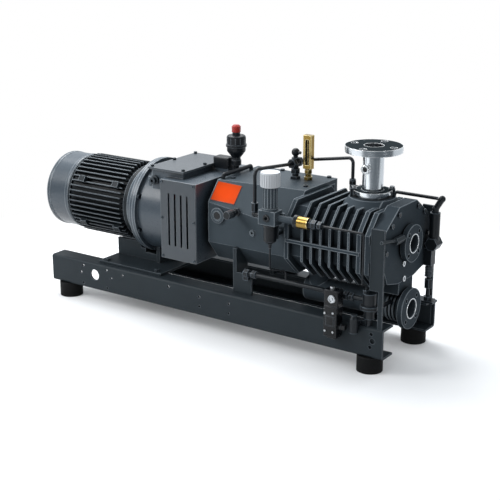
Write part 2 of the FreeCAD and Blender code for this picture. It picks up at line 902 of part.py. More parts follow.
cooling_fan()
box_near = "motor_fin_radius + seat_gap"
box_far = box_near + " + terminal_box_depth"
box_right = "terminal_box_place + terminal_box_length"
box_low, box_high = "shaft_height - terminal_box_height / 2", "shaft_height + terminal_box_height / 2"
keep(cut(block("terminal_box_place", box_right, box_near, box_far, box_low, box_high),
         block("terminal_box_place + 5", box_right + " - 5", box_near + " + 8", box_far + " + 1",
               box_low + " + 5", box_high + " - 5")), "terminal_shell")
keep(block("terminal_box_place - 2", box_right + " + 2", box_far, box_far + " + 7",
           box_low + " - 2", box_high + " + 2"), "terminal_lid")
keep(join(hexagon("x", "(%s)" % box_right, "(%s) + 28" % box_near, "shaft_height", "16", "9"),
          cone("x", "(%s) + 9" % box_right, "(%s) + 28" % box_near, "shaft_height", "13", "10", "12")),
     "cable_gland")


# Coupling housing and coupling

lantern_left = "motor_flange_face + motor_flange_thickness"
lantern_inner = "lantern_radius - lantern_wall"


def coupling_housing():
    """The round lantern behind the motor flange, run into a ventilated box."""
    ring = rod("x", lantern_left, "0", "shaft_height", "lantern_flange_radius", "lantern_flange_thickness")
    tube = rod("x", lantern_left, "0", "shaft_height", "lantern_radius", "vent_box_left - (%s)" % lantern_left)
    half = "vent_box_half_width"
    shell = block("vent_box_left", "vent_box_right", "-" + half, half, "vent_box_bottom", "vent_box_top")
    collar = block("top_cover_left + 8", "top_cover_right - 8", "10 - top_cover_half_width",
                   "top_cover_half_width - 10", "shaft_height", "top_cover_underside")
    bore = rod("x", lantern_left + " - 1", "0", "shaft_height", lantern_inner,
               "vent_box_left + vent_box_wall + 1 - (%s)" % lantern_left)
    room = block("vent_box_left + vent_box_wall", "vent_box_right - vent_box_wall", "vent_box_wall - " + half,
                 half + " - vent_box_wall", "vent_box_bottom + vent_box_wall", "vent_box_top - vent_box_wall")
    window = block("vent_box_left + 24", "vent_box_right - 24", "-%s - 1" % half, half + " + 1",
                   "vent_box_bottom + 30", "vent_box_top - 30")
    hatch = block("top_cover_left + 20", "top_cover_right - 20", "34 - top_cover_half_width",
                  "top_cover_half_width - 34", "shaft_height", "top_cover_underside + 1")
    outlet = rod("x", "vent_box_right - vent_box_wall - 1", "0", "shaft_height", "neck_radius - 30",
                 "vent_box_wall + 2")
    bolts = [rod("x", lantern_left + " - 1", y, "shaft_height + " + z, "6.5", "lantern_flange_thickness + 2")
             for y, z in lantern_bolt_spots]
    seats = [rod("x", lantern_right, y, "shaft_height + " + z, "9.6", "10") for y, z in lantern_bolt_spots]
    sensor = block("vent_box_right - 8 - sensor_length", "vent_box_right - 8", "sensor_front",
                   "sensor_front + sensor_depth", "vent_box_top - 2", "sensor_top")
    plug = join(rod("z", "lantern_plug_x", "lantern_plug_y", "shaft_height + 80", "9", "30"),
                hexagon("z", "lantern_plug_x", "lantern_plug_y", "shaft_height + 110", "11", "8"))
    return cut(join(ring, tube, shell, collar, sensor, plug), bore, room, window, hatch, outlet, *bolts, *seats)


lantern_bolt_spots = ring_spots(8, "lantern_flange_radius * 2 - 18", "22.5")
lantern_right = lantern_left + " + lantern_flange_thickness"
keep(coupling_housing(), "coupling_housing")
keep(group(*[join(hexagon("x", lantern_right, y, "shaft_height + " + z, "7.5", "5"),
                  rod("x", lantern_left, y, "shaft_height + " + z, "6.4", "lantern_flange_thickness"))
             for y, z in lantern_bolt_spots]), "lantern_bolts")


def vent_cover(label, side):
    """A thin plate with four upright slots, screwed over the box window."""
    near = "%s * vent_box_half_width" % side
    low, high = ("%s - vent_cover_thickness" % near, near) if side == FRONT else (
        near, near + " + vent_cover_thickness")
    sheet_plate = block("vent_box_left", "vent_box_right", low, high, "vent_box_bottom", "vent_box_top")
    middle = "(vent_box_left + vent_box_right) / 2"
    slots = []
    for step in (-1.5, -0.5, 0.5, 1.5):
        left = "%s + %s * vent_slot_spacing - vent_slot_width / 2" % (middle, step)
        slots.append(block(left, left + " + vent_slot_width", low + " - 1", high + " + 1",
                           "vent_box_bottom + vent_slot_low", "vent_box_bottom + vent_slot_low + vent_slot_height"))
    return keep(cut(sheet_plate, *slots), label)


vent_cover("vent_cover_front", FRONT)
vent_cover("vent_cover_rear", REAR)
keep(block("top_cover_left", "top_cover_right", "-top_cover_half_width", "top_cover_half_width",
           "top_cover_underside", "top_cover_underside + top_cover_thickness"), "top_cover")
cover_screw_spots = [(x, y) for x in ("top_cover_left + 9", "top_cover_right - 9")
                     for y in ("12 - top_cover_half_width", "0", "top_cover_half_width - 12")]
keep(group(*[rod("z", x, y, "top_cover_underside + top_cover_thickness", "5.5", "6")
             for x, y in cover_screw_spots]), "top_cover_screws")


def coupling_half(label, left, facing):
    """A hub with three jaws that stand into the elastic star."""
    hub = rod("x", left, "0", "shaft_height", "coupling_radius", "coupling_hub_length")
    inner = "(%s) + coupling_hub_length" % left if facing > 0 else "(%s) - coupling_gap + 3" % left
    jaws = [rod("x", inner, "34 * cos(%d)" % angle, "shaft_height + 34 * sin(%d)" % angle, "11",
                "coupling_gap - 3") for angle in range(0 if facing > 0 else 60, 360, 120)]
    bore = rod("x", "(%s) - 30" % left, "0", "shaft_height",
               "motor_shaft_radius" if facing > 0 else "input_shaft_radius", "coupling_hub_length + 60")
    return keep(cut(join(hub, *jaws), bore), label)


second_hub = "coupling_left + coupling_hub_length + coupling_gap"
coupling_half("motor_coupling_half", "coupling_left", 1)
coupling_half("pump_coupling_half", second_hub, -1)


def coupling_star():
    """The elastic star: a disc with a pocket for each jaw."""
    left = "coupling_left + coupling_hub_length + seat_gap"
    width = "coupling_gap - 2 * seat_gap"
    disc = rod("x", left, "0", "shaft_height", "coupling_radius - 4", width)
    pockets = [rod("x", "(%s) - 1" % left, "34 * cos(%d)" % angle, "shaft_height + 34 * sin(%d)" % angle,
                   "11 + seat_gap", "coupling_gap + 2") for angle in range(0, 360, 60)]
    bore = rod("x", "(%s) - 1" % left, "0", "shaft_height", "motor_shaft_radius + 1", "coupling_gap + 2")
    return keep(cut(disc, *pockets, bore), "coupling_star")


coupling_star()


# Gears, shafts and screw rotors

class Layout:
    """Centre distances that follow from the gears, in millimetres."""
    centres = size("gear_module") * size("timing_teeth")
    drive = size("gear_module") * (size("drive_teeth") + size("pinion_teeth")) / 2
    drop = math.sqrt(drive ** 2 - (centres / 2) ** 2)


half_centres = "(gear_module * timing_teeth / 2)"
drive_centres = "(gear_module * (drive_teeth + pinion_teeth) / 2)"
rotor_height = "(shaft_height + sqrt(%s ^ 2 - %s ^ 2))" % (drive_centres, half_centres)
ROTORS = {"drive": FRONT, "driven": REAR}


def tooth_angle(radius, teeth, thickness):
    """Half the angle of an involute tooth at one radius, for a 20 degree gear."""
    module = size("gear_module")
    pitch = module * teeth / 2
    base = pitch * math.cos(math.radians(20))

    def involute(at):
        slope = math.acos(min(1.0, base / at))
        return math.tan(slope) - slope

    return thickness / (2 * pitch) + involute(pitch) - involute(max(radius, base))


def gear_wire(teeth, turn):
    """The outline of a spur gear in the YZ plane, with the middle of a tooth at an angle."""
    module = size("gear_module")
    pitch = module * teeth / 2
    thickness = math.pi * module / 2 - size("gear_backlash") / 2
    root, tip = pitch - 1.25 * module, pitch + 0.85 * module
    flank = [root, pitch - 0.5 * module, pitch + 0.2 * module, tip]
    points = []
    for index in range(teeth):
        middle = turn + 2 * math.pi * index / teeth
        for side, radii in ((-1, flank), (1, flank[::-1])):
            for radius in radii:
                angle = middle + side * tooth_angle(radius, teeth, thickness)
                points.append(Vector(0, radius * math.cos(angle), radius * math.sin(angle)))
    return Part.makePolygon(points + points[:1])


def gear(label, teeth, left, y, height, bore, turn):
    """A spur gear on one shaft."""
    item = doc.addObject("Part::Feature", "Gear")
    blank = Part.Face(gear_wire(teeth, turn)).extrude(Vector(size("gear_width"), 0, 0))
    hole = Part.makeCylinder(bore, size("gear_width") + 2, Vector(-1, 0, 0), Vector(1, 0, 0))
    item.Shape = blank.cut(hole)
    return keep(move(item, left, y, height), label)


toward_pinion = math.atan2(Layout.drop, -Layout.centres / 2)
pinion_turn = toward_pinion + math.pi + math.pi / size("pinion_teeth")
gear("drive_gear", int(size("drive_teeth")), "drive_gear_place", "0", "shaft_height",
     size("input_shaft_radius"), toward_pinion)
gear("pinion", int(size("pinion_teeth")), "drive_gear_place", "-" + half_centres, rotor_height,
     size("rotor_shaft_radius"), pinion_turn)
gear("timing_gear_drive", int(size("timing_teeth")), "timing_gear_place", "-" + half_centres, rotor_height,
     size("rotor_shaft_radius"), 0.0)
gear("timing_gear_driven", int(size("timing_teeth")), "timing_gear_place", half_centres, rotor_height,
     size("rotor_shaft_radius"), math.pi + math.pi / size("timing_teeth"))

input_left = "coupling_left + coupling_hub_length + coupling_gap + 4"
stand(turned("input_shaft", [
    (input_left, "0"), (input_left, "input_shaft_radius"),
    ("drive_gear_place + gear_width + 4", "input_shaft_radius"), ("drive_gear_place + gear_width + 4", "0")]),
    "0", "0", "shaft_height")

rotor_right = "rotor_place + rotor_pitch * rotor_turns"
end_bearing_left = "cylinder_right + end_flange_thickness - 4"


def rotor_root():
    """Root radius that leaves the tip clearance to the other rotor's tip."""
    return Layout.centres - size("rotor_tip_radius") - size("rotor_tip_clearance")


def thread(hand, lead):
    """One square thread: four helical faces and two ends, sewn into a solid."""
    pitch, turns = size("rotor_pitch"), size("rotor_turns")
    width = pitch * size("rotor_thread_share")
    inner, outer = rotor_root() - 2, size("rotor_tip_radius")
    length = pitch * turns - width

    def helix(radius, start):
        curve = Part.makeHelix(pitch, length, radius, 0, hand < 0)
        curve.translate(Vector(0, 0, start))
        return curve.Edges[0] if len(curve.Edges) == 1 else curve

    corners = [helix(inner, 0), helix(outer, 0), helix(outer, width), helix(inner, width)]
    faces = []
    for index in range(4):
        faces += Part.makeRuledSurface(corners[index], corners[(index + 1) % 4]).Faces
    for last in (False, True):
        ends = [curve.valueAt(curve.LastParameter if last else curve.FirstParameter) for curve in corners]
        faces.append(Part.Face(Part.makePolygon(ends + ends[:1])))
    solid = Part.Solid(Part.Shell(faces))
    if solid.Volume < 0:
        solid.reverse()
    solid.rotate(Vector(), Vector(0, 0, 1), lead)
    return solid


def screw_rotor(label, name):
    """A shaft with its threaded body, cut to flat ends."""
    hand = 1 if name == "drive" else -1
    item = doc.addObject("Part::Feature", "ScrewRotor")
    body_length = size("rotor_pitch") * size("rotor_turns")
    root = Part.makeCylinder(rotor_root(), body_length)
    left = size("drive_gear_place") - 6 - size("rotor_place")
    right = size("cylinder_right") + size("end_flange_thickness") + 24 - size("rotor_place")
    axle = Part.makeCylinder(size("rotor_shaft_radius"), right - left, Vector(0, 0, left))
    turns = thread(hand, 0.0 if name == "drive" else 180.0)
    shape = root.fuse([turns, axle])
    shape.rotate(Vector(), Vector(0, 1, 0), 90)
    item.Shape = shape
    return keep(move(item, "rotor_place", "%s * %s" % (ROTORS[name], half_centres), rotor_height), label)


screw_rotor("screw_rotor_drive", "drive")
screw_rotor("screw_rotor_driven", "driven")


def ring_bearing(label, spots, left, bore, outer, width):
    """Bearings of one kind, each a ring with a running gap to its shaft."""
    rings = []
    for y, z in spots:
        rings.append(cut(rod("x", left, y, z, outer, width),
                         rod("x", "(%s) - 1" % left, y, z, bore, "(%s) + 2" % width)))
    return keep(group(*rings) if len(rings) > 1 else rings[0], label)


rotor_axes = [("%s * %s" % (side, half_centres), rotor_height) for side in (FRONT, REAR)]
rotor_bore = "rotor_shaft_radius + running_gap"
carrier_left = "carrier_place"
left_bearing_at = "casing_left + 2"
gear_bearing_left = "casing_right - bearing_wall"
ring_bearing("cover_bearing", [("0", "shaft_height")], left_bearing_at, "input_shaft_radius + running_gap",
             "input_bearing_radius", "input_bearing_width")
ring_bearing("carrier_bearing", [("0", "shaft_height")], "carrier_place + 2",
             "input_shaft_radius + running_gap", "input_bearing_radius", "input_bearing_width")
ring_bearing("rotor_gear_side_bearings", rotor_axes, gear_bearing_left + " + 3", rotor_bore,
             "shaft_bearing_radius", "shaft_bearing_width")
ring_bearing("rotor_suction_side_bearings", rotor_axes, end_bearing_left, rotor_bore,
             "shaft_bearing_radius", "shaft_bearing_width")


# Gear casing and screw cylinder

def part_way(place):
    """How far along the casing a place is, from 0 to 1."""
    return "(((%s) - casing_left) / (casing_right - casing_left))" % place


def casing_section(place, wall="0"):
    """The casing's outline at one length; the long bevel grows towards the cylinder."""
    kink = "casing_kink_left + (casing_kink_right - casing_kink_left) * %s - 0.38 * (%s)" % (part_way(place), wall)
    shoulder = "casing_shoulder_left + (casing_shoulder_right - casing_shoulder_left) * %s - 0.46 * (%s)" % (
        part_way(place), wall)
    foot_level = "casing_foot_height + 0.3 * (%s)" % wall
    return [("%s - casing_front" % wall, foot_level), ("%s - casing_front" % wall, kink),
            ("-(%s)" % shoulder, "casing_top - (%s)" % wall), ("casing_rear - (%s)" % wall, "casing_top - (%s)" % wall),
            ("casing_rear - (%s)" % wall, foot_level), ("casing_keel - 0.45 * (%s)" % wall, "casing_bottom + %s" % wall),
            ("0.45 * (%s) - casing_keel" % wall, "casing_bottom + %s" % wall)]


def loft(body, first, second, kind="PartDesign::AdditiveLoft"):
    """Join two sketches by straight faces, to add or to take away."""
    item = body.newObject(kind, "Loft")
    item.Profile = first
    item.Sections = [second]
    item.Ruled = True
    return item


def part_body():
    """A body that is used inside another piece."""
    return doc.addObject("PartDesign::Body", "Body")


def section_sketch(body, place, corners):
    """A closed outline in the YZ plane at one length."""
    drawing = sketch_on(body, "YZ_Plane", place)
    draw_polygon(drawing, corners)
    return drawing


def part_body_turned(corners):
    """A turned body used inside another piece, on the shaft's axis."""
    body = turned("Turned", corners)
    pieces.remove(body)
    return stand(body, "0", "0", "shaft_height")


def casing_shell():
    """The hollow casting, open on the cylinder's side."""
    body = part_body()
    loft(body, section_sketch(body, "casing_left", casing_section("casing_left")),
         section_sketch(body, "casing_right", casing_section("casing_right")))
    inner_left = "casing_left + casing_wall"
    loft(body, section_sketch(body, inner_left, casing_section(inner_left, "casing_wall")),
         section_sketch(body, "casing_right", casing_section("casing_right", "casing_wall")),
         "PartDesign::SubtractiveLoft")
    return body


def gear_casing():
    """Casing with its cover opening, socket plug and bolt seats."""
    opening = rod("x", "casing_left - 1", "0", "shaft_height", "neck_radius - 12", "casing_wall + 2")
    plug = rod("y", "plug_x", "-casing_front - 4", "plug_z", "9", "6")
    socket = hexagon("y", "plug_x", "-casing_front - 5", "plug_z", "4.6", "5")
    return keep(cut(join(casing_shell(), plug), opening, socket), "gear_casing")


gear_casing()


def plate_at(place, thick, wall="casing_wall"):
    """A flat plate with the casing's inner outline at its right face."""
    body = part_body()
    end = "(%s) + (%s)" % (place, thick)
    drawing = sketch_on(body, "YZ_Plane", place)
    draw_polygon(drawing, casing_section(end, wall))
    pad(body, drawing, thick)
    return body


cover_ring = part_body_turned([
    ("vent_box_right", "neck_radius - 30"), ("vent_box_right", "neck_radius"), ("casing_left", "neck_radius"),
    ("casing_left", "neck_radius - 12"), ("casing_left + gear_cover_thickness", "neck_radius - 12"),
    ("casing_left + gear_cover_thickness", "input_bearing_radius"), ("casing_left + 2", "input_bearing_radius"),
    ("casing_left + 2", "input_shaft_radius + 5"), ("casing_left - 6", "input_shaft_radius + 5"),
    ("casing_left - 6", "neck_radius - 30")])
breather_boss = cut(rod("z", "breather_x", "breather_y", "shaft_height", "10.8", "breather_seat - shaft_height"),
                    rod("x", "vent_box_right - 1", "0", "shaft_height", "neck_radius - 4", "40"))
keep(join(cover_ring, breather_boss), "gear_cover")

keep(cut(plate_at("carrier_place", "carrier_thickness"),
         rod("x", "carrier_place + 2", "0", "shaft_height", "input_bearing_radius", "carrier_thickness"),
         rod("x", "carrier_place - 1", "0", "shaft_height", "input_shaft_radius + 6", "carrier_thickness + 2")),
     "bearing_carrier")


def fin_section(inset="0"):
    """The eight-cornered outline of the fins, or the cylinder wall inside it."""
    side, slope = "(fin_front - (%s))" % inset, "0.42 * (%s)" % inset
    return [("-" + side, "fin_foot_height + %s" % slope), ("-" + side, "fin_shoulder_height - %s" % slope),
            ("%s - fin_shoulder" % slope, "fin_top - (%s)" % inset),
            ("fin_shoulder - %s" % slope, "fin_top - (%s)" % inset),
            (side, "fin_shoulder_height - %s" % slope), (side, "fin_foot_height + %s" % slope),
            ("fin_keel - %s" % slope, "fin_bottom + %s" % inset),
            ("%s - fin_keel" % slope, "fin_bottom + %s" % inset)]


def rotor_bores(left, right, radius):
    """Two bores side by side on the rotor axes."""
    return [rod("x", left, y, z, radius, "(%s) - (%s)" % (right, left)) for y, z in rotor_axes]


def cylinder_casting():
    """Wall, flanges, fins and the rib along each side."""
    body = part_body()
    pad(body, section_sketch(body, "casing_right", fin_section("18")), "cylinder_right - casing_right")
    pad(body, section_sketch(body, "casing_right", fin_section()), "cylinder_flange_thickness")
    pad(body, section_sketch(body, "cylinder_right - cylinder_flange_thickness", fin_section()),
        "cylinder_flange_thickness")
    for step in range(int(size("fin_count"))):
        pad(body, section_sketch(body, "fin_first + %d * fin_spacing" % step, fin_section()), "fin_thickness")
    rib = section_sketch(body, "casing_right + 4", [
        ("-fin_front - 2", "shaft_height + 6"), ("fin_front + 2", "shaft_height + 6"),
        ("fin_front + 2", "shaft_height + 6 + side_rib_height"),
        ("-fin_front - 2", "shaft_height + 6 + side_rib_height")])
    pad(body, rib, "cylinder_right - casing_right - 8")
    return body


def inlet_boss():
    """The low cone under the inlet, which runs over onto the end casting."""
    return cone("z", "inlet_place_x", "inlet_place_y", "fin_top - 30", "inlet_pad_radius + 36",
                "inlet_pad_radius", "inlet_pad_top - fin_top + 30")


def screw_cylinder():
    """The finned cylinder with the rotor chamber, bearing wall and inlet boss."""
    spigot_left = "casing_right - bearing_wall"
    boss = cut(inlet_boss(), block("cylinder_right", "cylinder_right + 200", "-200", "200", "400", "500"))
    chamber_left = "casing_right + cylinder_flange_thickness"
    chamber = rotor_bores(chamber_left, "cylinder_right + 1", "rotor_tip_radius + rotor_tip_clearance")
    seats = rotor_bores(spigot_left + " + 3", "casing_right", "shaft_bearing_radius")
    passages = rotor_bores(spigot_left + " - 1", chamber_left + " + 1", "rotor_shaft_radius + 6")
    inlet = rod("z", "inlet_place_x", "inlet_place_y", rotor_height, "inlet_port_radius",
                "inlet_pad_top - %s + 1" % rotor_height)
    outlet = rod("z", "exhaust_duct_left + 24", "0", "fin_bottom", "20", "%s - fin_bottom" % rotor_height)
    foot = rod("z", "exhaust_duct_left + 24", "0", "fin_bottom", "34", "26")
    return keep(cut(join(cylinder_casting(), plate_at(spigot_left, "bearing_wall"), boss, foot),
                    *chamber, *seats, *passages, inlet, outlet), "screw_cylinder")


screw_cylinder()

end_face_left = "cylinder_right + end_casting_inset"
end_flange_right = end_face_left + " + end_flange_thickness"


def end_casting():
    """Bearing housing at the suction end, with the upper port's flange."""
    body = part_body()
    pad(body, section_sketch(body, "cylinder_right", fin_section("12")), "end_casting_inset")
    pad(body, section_sketch(body, end_face_left, fin_section()), "end_flange_thickness")
    half = [("52", "459"), ("127", "407"), ("145", "364"), ("145", "318"), ("111", "251"), ("48", "236")]
    corners = half + [("-" + y, z) for y, z in reversed(half)]
    pad(body, section_sketch(body, end_flange_right, corners), "end_casting_right - (%s)" % end_flange_right)
    port = rod("x", "end_casting_right - 2", "0", "end_port_height", "end_port_radius - 16",
               "end_flange_face - end_casting_right")
    flange = rod("x", "end_flange_face - port_flange_thickness", "0", "end_port_height", "end_port_radius",
                 "port_flange_thickness")
    seats = rotor_bores("cylinder_right - 1", end_bearing_left + " + shaft_bearing_width", "shaft_bearing_radius")
    room = block(end_bearing_left + " + shaft_bearing_width", "end_casting_right - 14", "-80", "80",
                 "end_port_height - 40", "end_port_height + 28")
    bore = rod("x", "end_casting_right - 20", "0", "end_port_height", "end_port_bore",
               "end_flange_face - end_casting_right + 21")
    holes = [rod("x", "end_flange_face - port_flange_thickness - 1", y, "end_port_height + " + z,
                 "port_bolt_hole", "port_flange_thickness + 2") for y, z in ring_spots(4, "end_port_circle", "45")]
    boss = cut(inlet_boss(), block("cylinder_right - 300", "cylinder_right", "-200", "200", "400", "500"))
    leg = block(end_face_left, "end_casting_right - 2", "-36", "48", "port_leg_bottom", "fin_bottom + 20")
    return keep(cut(join(body, port, flange, boss, leg), *seats, room, bore, *holes), "end_casting")


end_casting()


def exhaust_duct():
    """Duct under the cylinder, from its foot to the lower flange."""
    across = "exhaust_duct_left + 24"
    run = rod("x", "exhaust_duct_left - 14", "0", "exhaust_height", "exhaust_duct_radius",
              "end_flange_face - exhaust_duct_left + 10")
    riser = rod("z", across, "0", "exhaust_height", "34", "fin_bottom - exhaust_height")
    flange = rod("x", "end_flange_face - port_flange_thickness", "0", "exhaust_height", "exhaust_radius",
                 "port_flange_thickness")
    ribs = [rod("x", "end_flange_face - 62 + %d" % step, "0", "exhaust_height", "exhaust_duct_radius + 6", "5")
            for step in (0, 11, 22)]
    neck = cone("x", "end_flange_face - 34", "0", "exhaust_height", "exhaust_duct_radius + 1", "exhaust_radius - 10",
                "34 - port_flange_thickness")
    bore = rod("x", across, "0", "exhaust_height", "exhaust_bore", "end_flange_face - (%s) + 1" % across)
    rise = rod("z", across, "0", "exhaust_height", "20", "fin_bottom - exhaust_height + 1")
    holes = [rod("x", "end_flange_face - port_flange_thickness - 1", y, "exhaust_height + " + z,
                 "port_bolt_hole", "port_flange_thickness + 2") for y, z in ring_spots(4, "exhaust_circle", "45")]
    return keep(cut(join(run, riser, flange, neck, *ribs), bore, rise, *holes), "exhaust_duct")


exhaust_duct()


# Inlet

def inlet_pipe():
    """Welded stub with a standard flange on top and a collar at the foot."""
    inner, outer = "inlet_tube_radius - inlet_tube_wall", "inlet_tube_radius"
    body = turned("inlet_pipe", [
        ("0", inner), ("0", "inlet_collar_radius"), ("inlet_collar_thickness", "inlet_collar_radius"),
        ("inlet_collar_thickness", outer), ("inlet_top - inlet_pad_top - inlet_flange_thickness", outer),
        ("inlet_top - inlet_pad_top - inlet_flange_thickness", "inlet_flange_radius"),
        ("inlet_top - inlet_pad_top", "inlet_flange_radius"), ("inlet_top - inlet_pad_top", inner)])
    drawing = sketch_on(body, "YZ_Plane", "inlet_top - inlet_pad_top")
    draw_circle(drawing, "0", "inlet_bolt_circle / 2", "inlet_bolt_hole")
    hole = pocket(body, drawing, "inlet_flange_thickness + 1")
    ring = body.newObject("PartDesign::PolarPattern", "HoleRing")
    ring.Originals = [hole]
    ring.Axis = (plane_of(body, "X_Axis"), [""])
    ring.Angle = 360
    ring.Occurrences = 4
    body.Tip = ring
    return stand(body, "inlet_place_x", "inlet_place_y", "inlet_pad_top", "z")


inlet_pipe()
nipple_x = "inlet_place_x - 6"
inlet_void = rod("z", "inlet_place_x", "inlet_place_y", "inlet_pad_top", "inlet_tube_radius - inlet_tube_wall",
                 "inlet_top - inlet_pad_top")
nipple = cut(rod("y", nipple_x, "inlet_place_y - inlet_tube_radius - 10", "side_nipple_height",
                 "side_nipple_radius", "20"),
             rod("y", nipple_x, "inlet_place_y - inlet_tube_radius - 11", "side_nipple_height",
                 "side_nipple_radius - 3.5", "9"), inlet_void)
weld("inlet_pipe", nipple)
ring_low = "inlet_pad_top + inlet_collar_thickness"
ring_high = ring_low + " + inlet_ring_thickness"
keep(cut(rod("z", "inlet_place_x", "inlet_place_y", ring_low, "inlet_ring_radius", "inlet_ring_thickness"),
         rod("z", "inlet_place_x", "inlet_place_y", ring_low + " - 1", "inlet_tube_radius + 1",
             "inlet_ring_thickness + 2")), "inlet_ring")


def clamp(angle):
    """A claw that stands on the boss and holds the ring down."""
    body = part_body()
    drawing = sketch_on(body, "XZ_Plane", "-clamp_width / 2")
    low, high = "0", "inlet_collar_thickness + inlet_ring_thickness"
    draw_polygon(drawing, [
        ("inlet_ring_radius + 1", low), ("inlet_ring_radius + 9", low),
        ("inlet_ring_radius + 9", high + " + clamp_rise"), ("inlet_ring_radius - 10", high + " + clamp_rise"),
        ("inlet_ring_radius - 10", high), ("inlet_ring_radius + 1", high)])
    pad(body, drawing, "clamp_width", False)
    body.Placement = Placement(Vector(), Rotation(Vector(0, 0, 1), angle))
    return move(body, "inlet_place_x", "inlet_place_y", "inlet_pad_top")


def clamp_screw(angle):
    """The bright screw on top of one claw."""
    x = "inlet_place_x + (inlet_ring_radius + 2) * cos(%s)" % angle
    y = "inlet_place_y + (inlet_ring_radius + 2) * sin(%s)" % angle
    return rod("z", x, y, ring_high + " + clamp_rise", "5.5", "6")


clamp_angles = [size("clamp_turn") + 90 * index for index in range(int(size("clamp_count")))]
keep(group(*[clamp(angle) for angle in clamp_angles]), "inlet_claws")
keep(group(*[clamp_screw(angle) for angle in clamp_angles]), "clamp_screws")


# Oil fittings and instruments

body_top = "breather_body_top - breather_seat"
stand(turned("breather_body", [
    ("0", "0"), ("0", "10.6"), ("8", "10.6"), ("8", "9.5"), ("48", "9.5"), ("48", "breather_neck_radius"),
    (body_top + " - 71", "breather_neck_radius"),
    (body_top + " - 59", "breather_body_radius"), (body_top + " - 35", "breather_body_radius"),
    (body_top + " - 35", "breather_body_radius + 4"), (body_top + " - 28", "breather_body_radius + 4"),
    (body_top + " - 28", "breather_body_radius"), (body_top, "breather_body_radius"),
    (body_top, "breather_neck_radius"), (body_top + " + breather_neck_height", "breather_neck_radius"),
    (body_top + " + breather_neck_height", "breather_spout_radius"),
    (body_top + " + breather_neck_height + 10", "breather_spout_radius"),
    (body_top + " + breather_neck_height + 10", "0")]),
    "breather_x", "breather_y", "breather_seat", "z")
weld("breather_body", hexagon("z", "breather_x", "breather_y", "breather_seat + 50", "15.5", "12"))
stand(turned("breather_cap", [
    ("0", "breather_spout_radius + seat_gap"), ("0", "breather_cap_radius"),
    ("breather_cap_height - 5", "breather_cap_radius"), ("breather_cap_height", "breather_cap_radius - 5"),
    ("breather_cap_height", "0"), ("11", "0"), ("11", "breather_spout_radius + seat_gap")]),
    "breather_x", "breather_y", "breather_body_top + breather_neck_height + seat_gap", "z")

glass_spot = ("sight_glass_x", "-casing_front - 6", "sight_glass_z")
keep(cut(rod("y", *glass_spot, "sight_glass_radius", "6"),
         rod("y", "sight_glass_x", "-casing_front - 7", "sight_glass_z", "12", "4")), "sight_glass")

drain_root = "-casing_front + 4"
fitting = join(rod("y", "drain_x", "-casing_front - 24", "drain_z", "8.5", "24"),
               hexagon("y", "drain_x", "-casing_front - 8", "drain_z", "13", "8"))
keep(fitting, "drain_fitting")


def drain_cap():
    """The ribbed cap that screws on the drain fitting."""
    end = "-casing_front - 56"
    knob = rod("y", "drain_x", end, "drain_z", "12.5", "32 - seat_gap")
    grooves = [rod("y", "drain_x + 13.2 * cos(%d)" % angle, end + " - 1", "drain_z + 13.2 * sin(%d)" % angle,
                   "1.8", "22") for angle in range(0, 360, 30)]
    hollow = rod("y", "drain_x", end + " + 20", "drain_z", "8.5 + 4 * running_gap", "14")
    return keep(cut(knob, hollow, *grooves), "drain_cap")


drain_cap()


def nameplate():
    """A plain plate on the casing's bevel."""
    drop = math.degrees(math.atan2(size("casing_front") - size("casing_shoulder_left"),
                                   size("casing_top") - size("casing_kink_left")))
    body = part_body()
    drawing = sketch_on(body, "XY_Plane")
    half, high = "plate_width / 2", "plate_height / 2"
    draw_polygon(drawing, [("-" + half, "-" + high), (half, "-" + high), (half, high), ("-" + half, high)])
    pad(body, drawing, "plate_thickness")
    rise = size("casing_top") - size("casing_kink_left")
    along = Vector(size("casing_right") - size("casing_left"), 0,
                   size("casing_kink_right") - size("casing_kink_left")).normalize()
    up = Vector(0, size("casing_front") - size("casing_shoulder_left"), rise).normalize()
    out = along.cross(up).normalize()
    side = Vector(1, 0, 0) - out * out.x
    body.Placement = Placement(Vector(), Rotation(side.normalize(), out.cross(side), out, "XZY"))
    middle_x, middle_z = "plate_x", "plate_z"
    t = "((%s) - casing_left) / (casing_right - casing_left)" % middle_x
    kink = "(casing_kink_left + (casing_kink_right - casing_kink_left) * %s)" % t
    shoulder = "(casing_shoulder_left + (casing_shoulder_right - casing_shoulder_left) * %s)" % t
    y = "(%s - %s) / (casing_top - %s) * (casing_front - %s) - casing_front" % (middle_z, kink, kink, shoulder)
    move(body, middle_x, y + " - 0.03", middle_z)
    return keep(body, "nameplate")


nameplate()


def shutoff_valve():
    """Small valve on the casing with a port on each side."""
    x, y = "valve_x", "valve_y"
    parts = [
        block(x + " - 11", x + " + 11", y + " - 11", y + " + 11", "casing_top", "casing_top + 9"),
        rod("z", x, y, "casing_top + 8", "10", "valve_port_height - casing_top - 4"),
        hexagon("z", x, y, "casing_top + 18", "15", "13"),
        hexagon("y", x, y + " - 24", "valve_port_height", "15", "14"),
        rod("y", x, y + " - 24", "valve_port_height", "11.5", "48"),
        hexagon("y", x, y + " + 10", "valve_port_height", "15", "14"),
        rod("z", x, y, "valve_port_height", "12", "16"),
    ]
    return keep(join(*parts), "shutoff_valve")


shutoff_valve()
knob_low = "valve_port_height + 16 + seat_gap"
keep(join(rod("z", "valve_x", "valve_y", knob_low, "7", "valve_ball_height - (%s)" % knob_low),
          ball("valve_x", "valve_y", "valve_ball_height", "valve_ball_radius"),
          rod("x", "valve_x", "valve_y", "valve_ball_height", "4.5", "18")), "valve_knob")


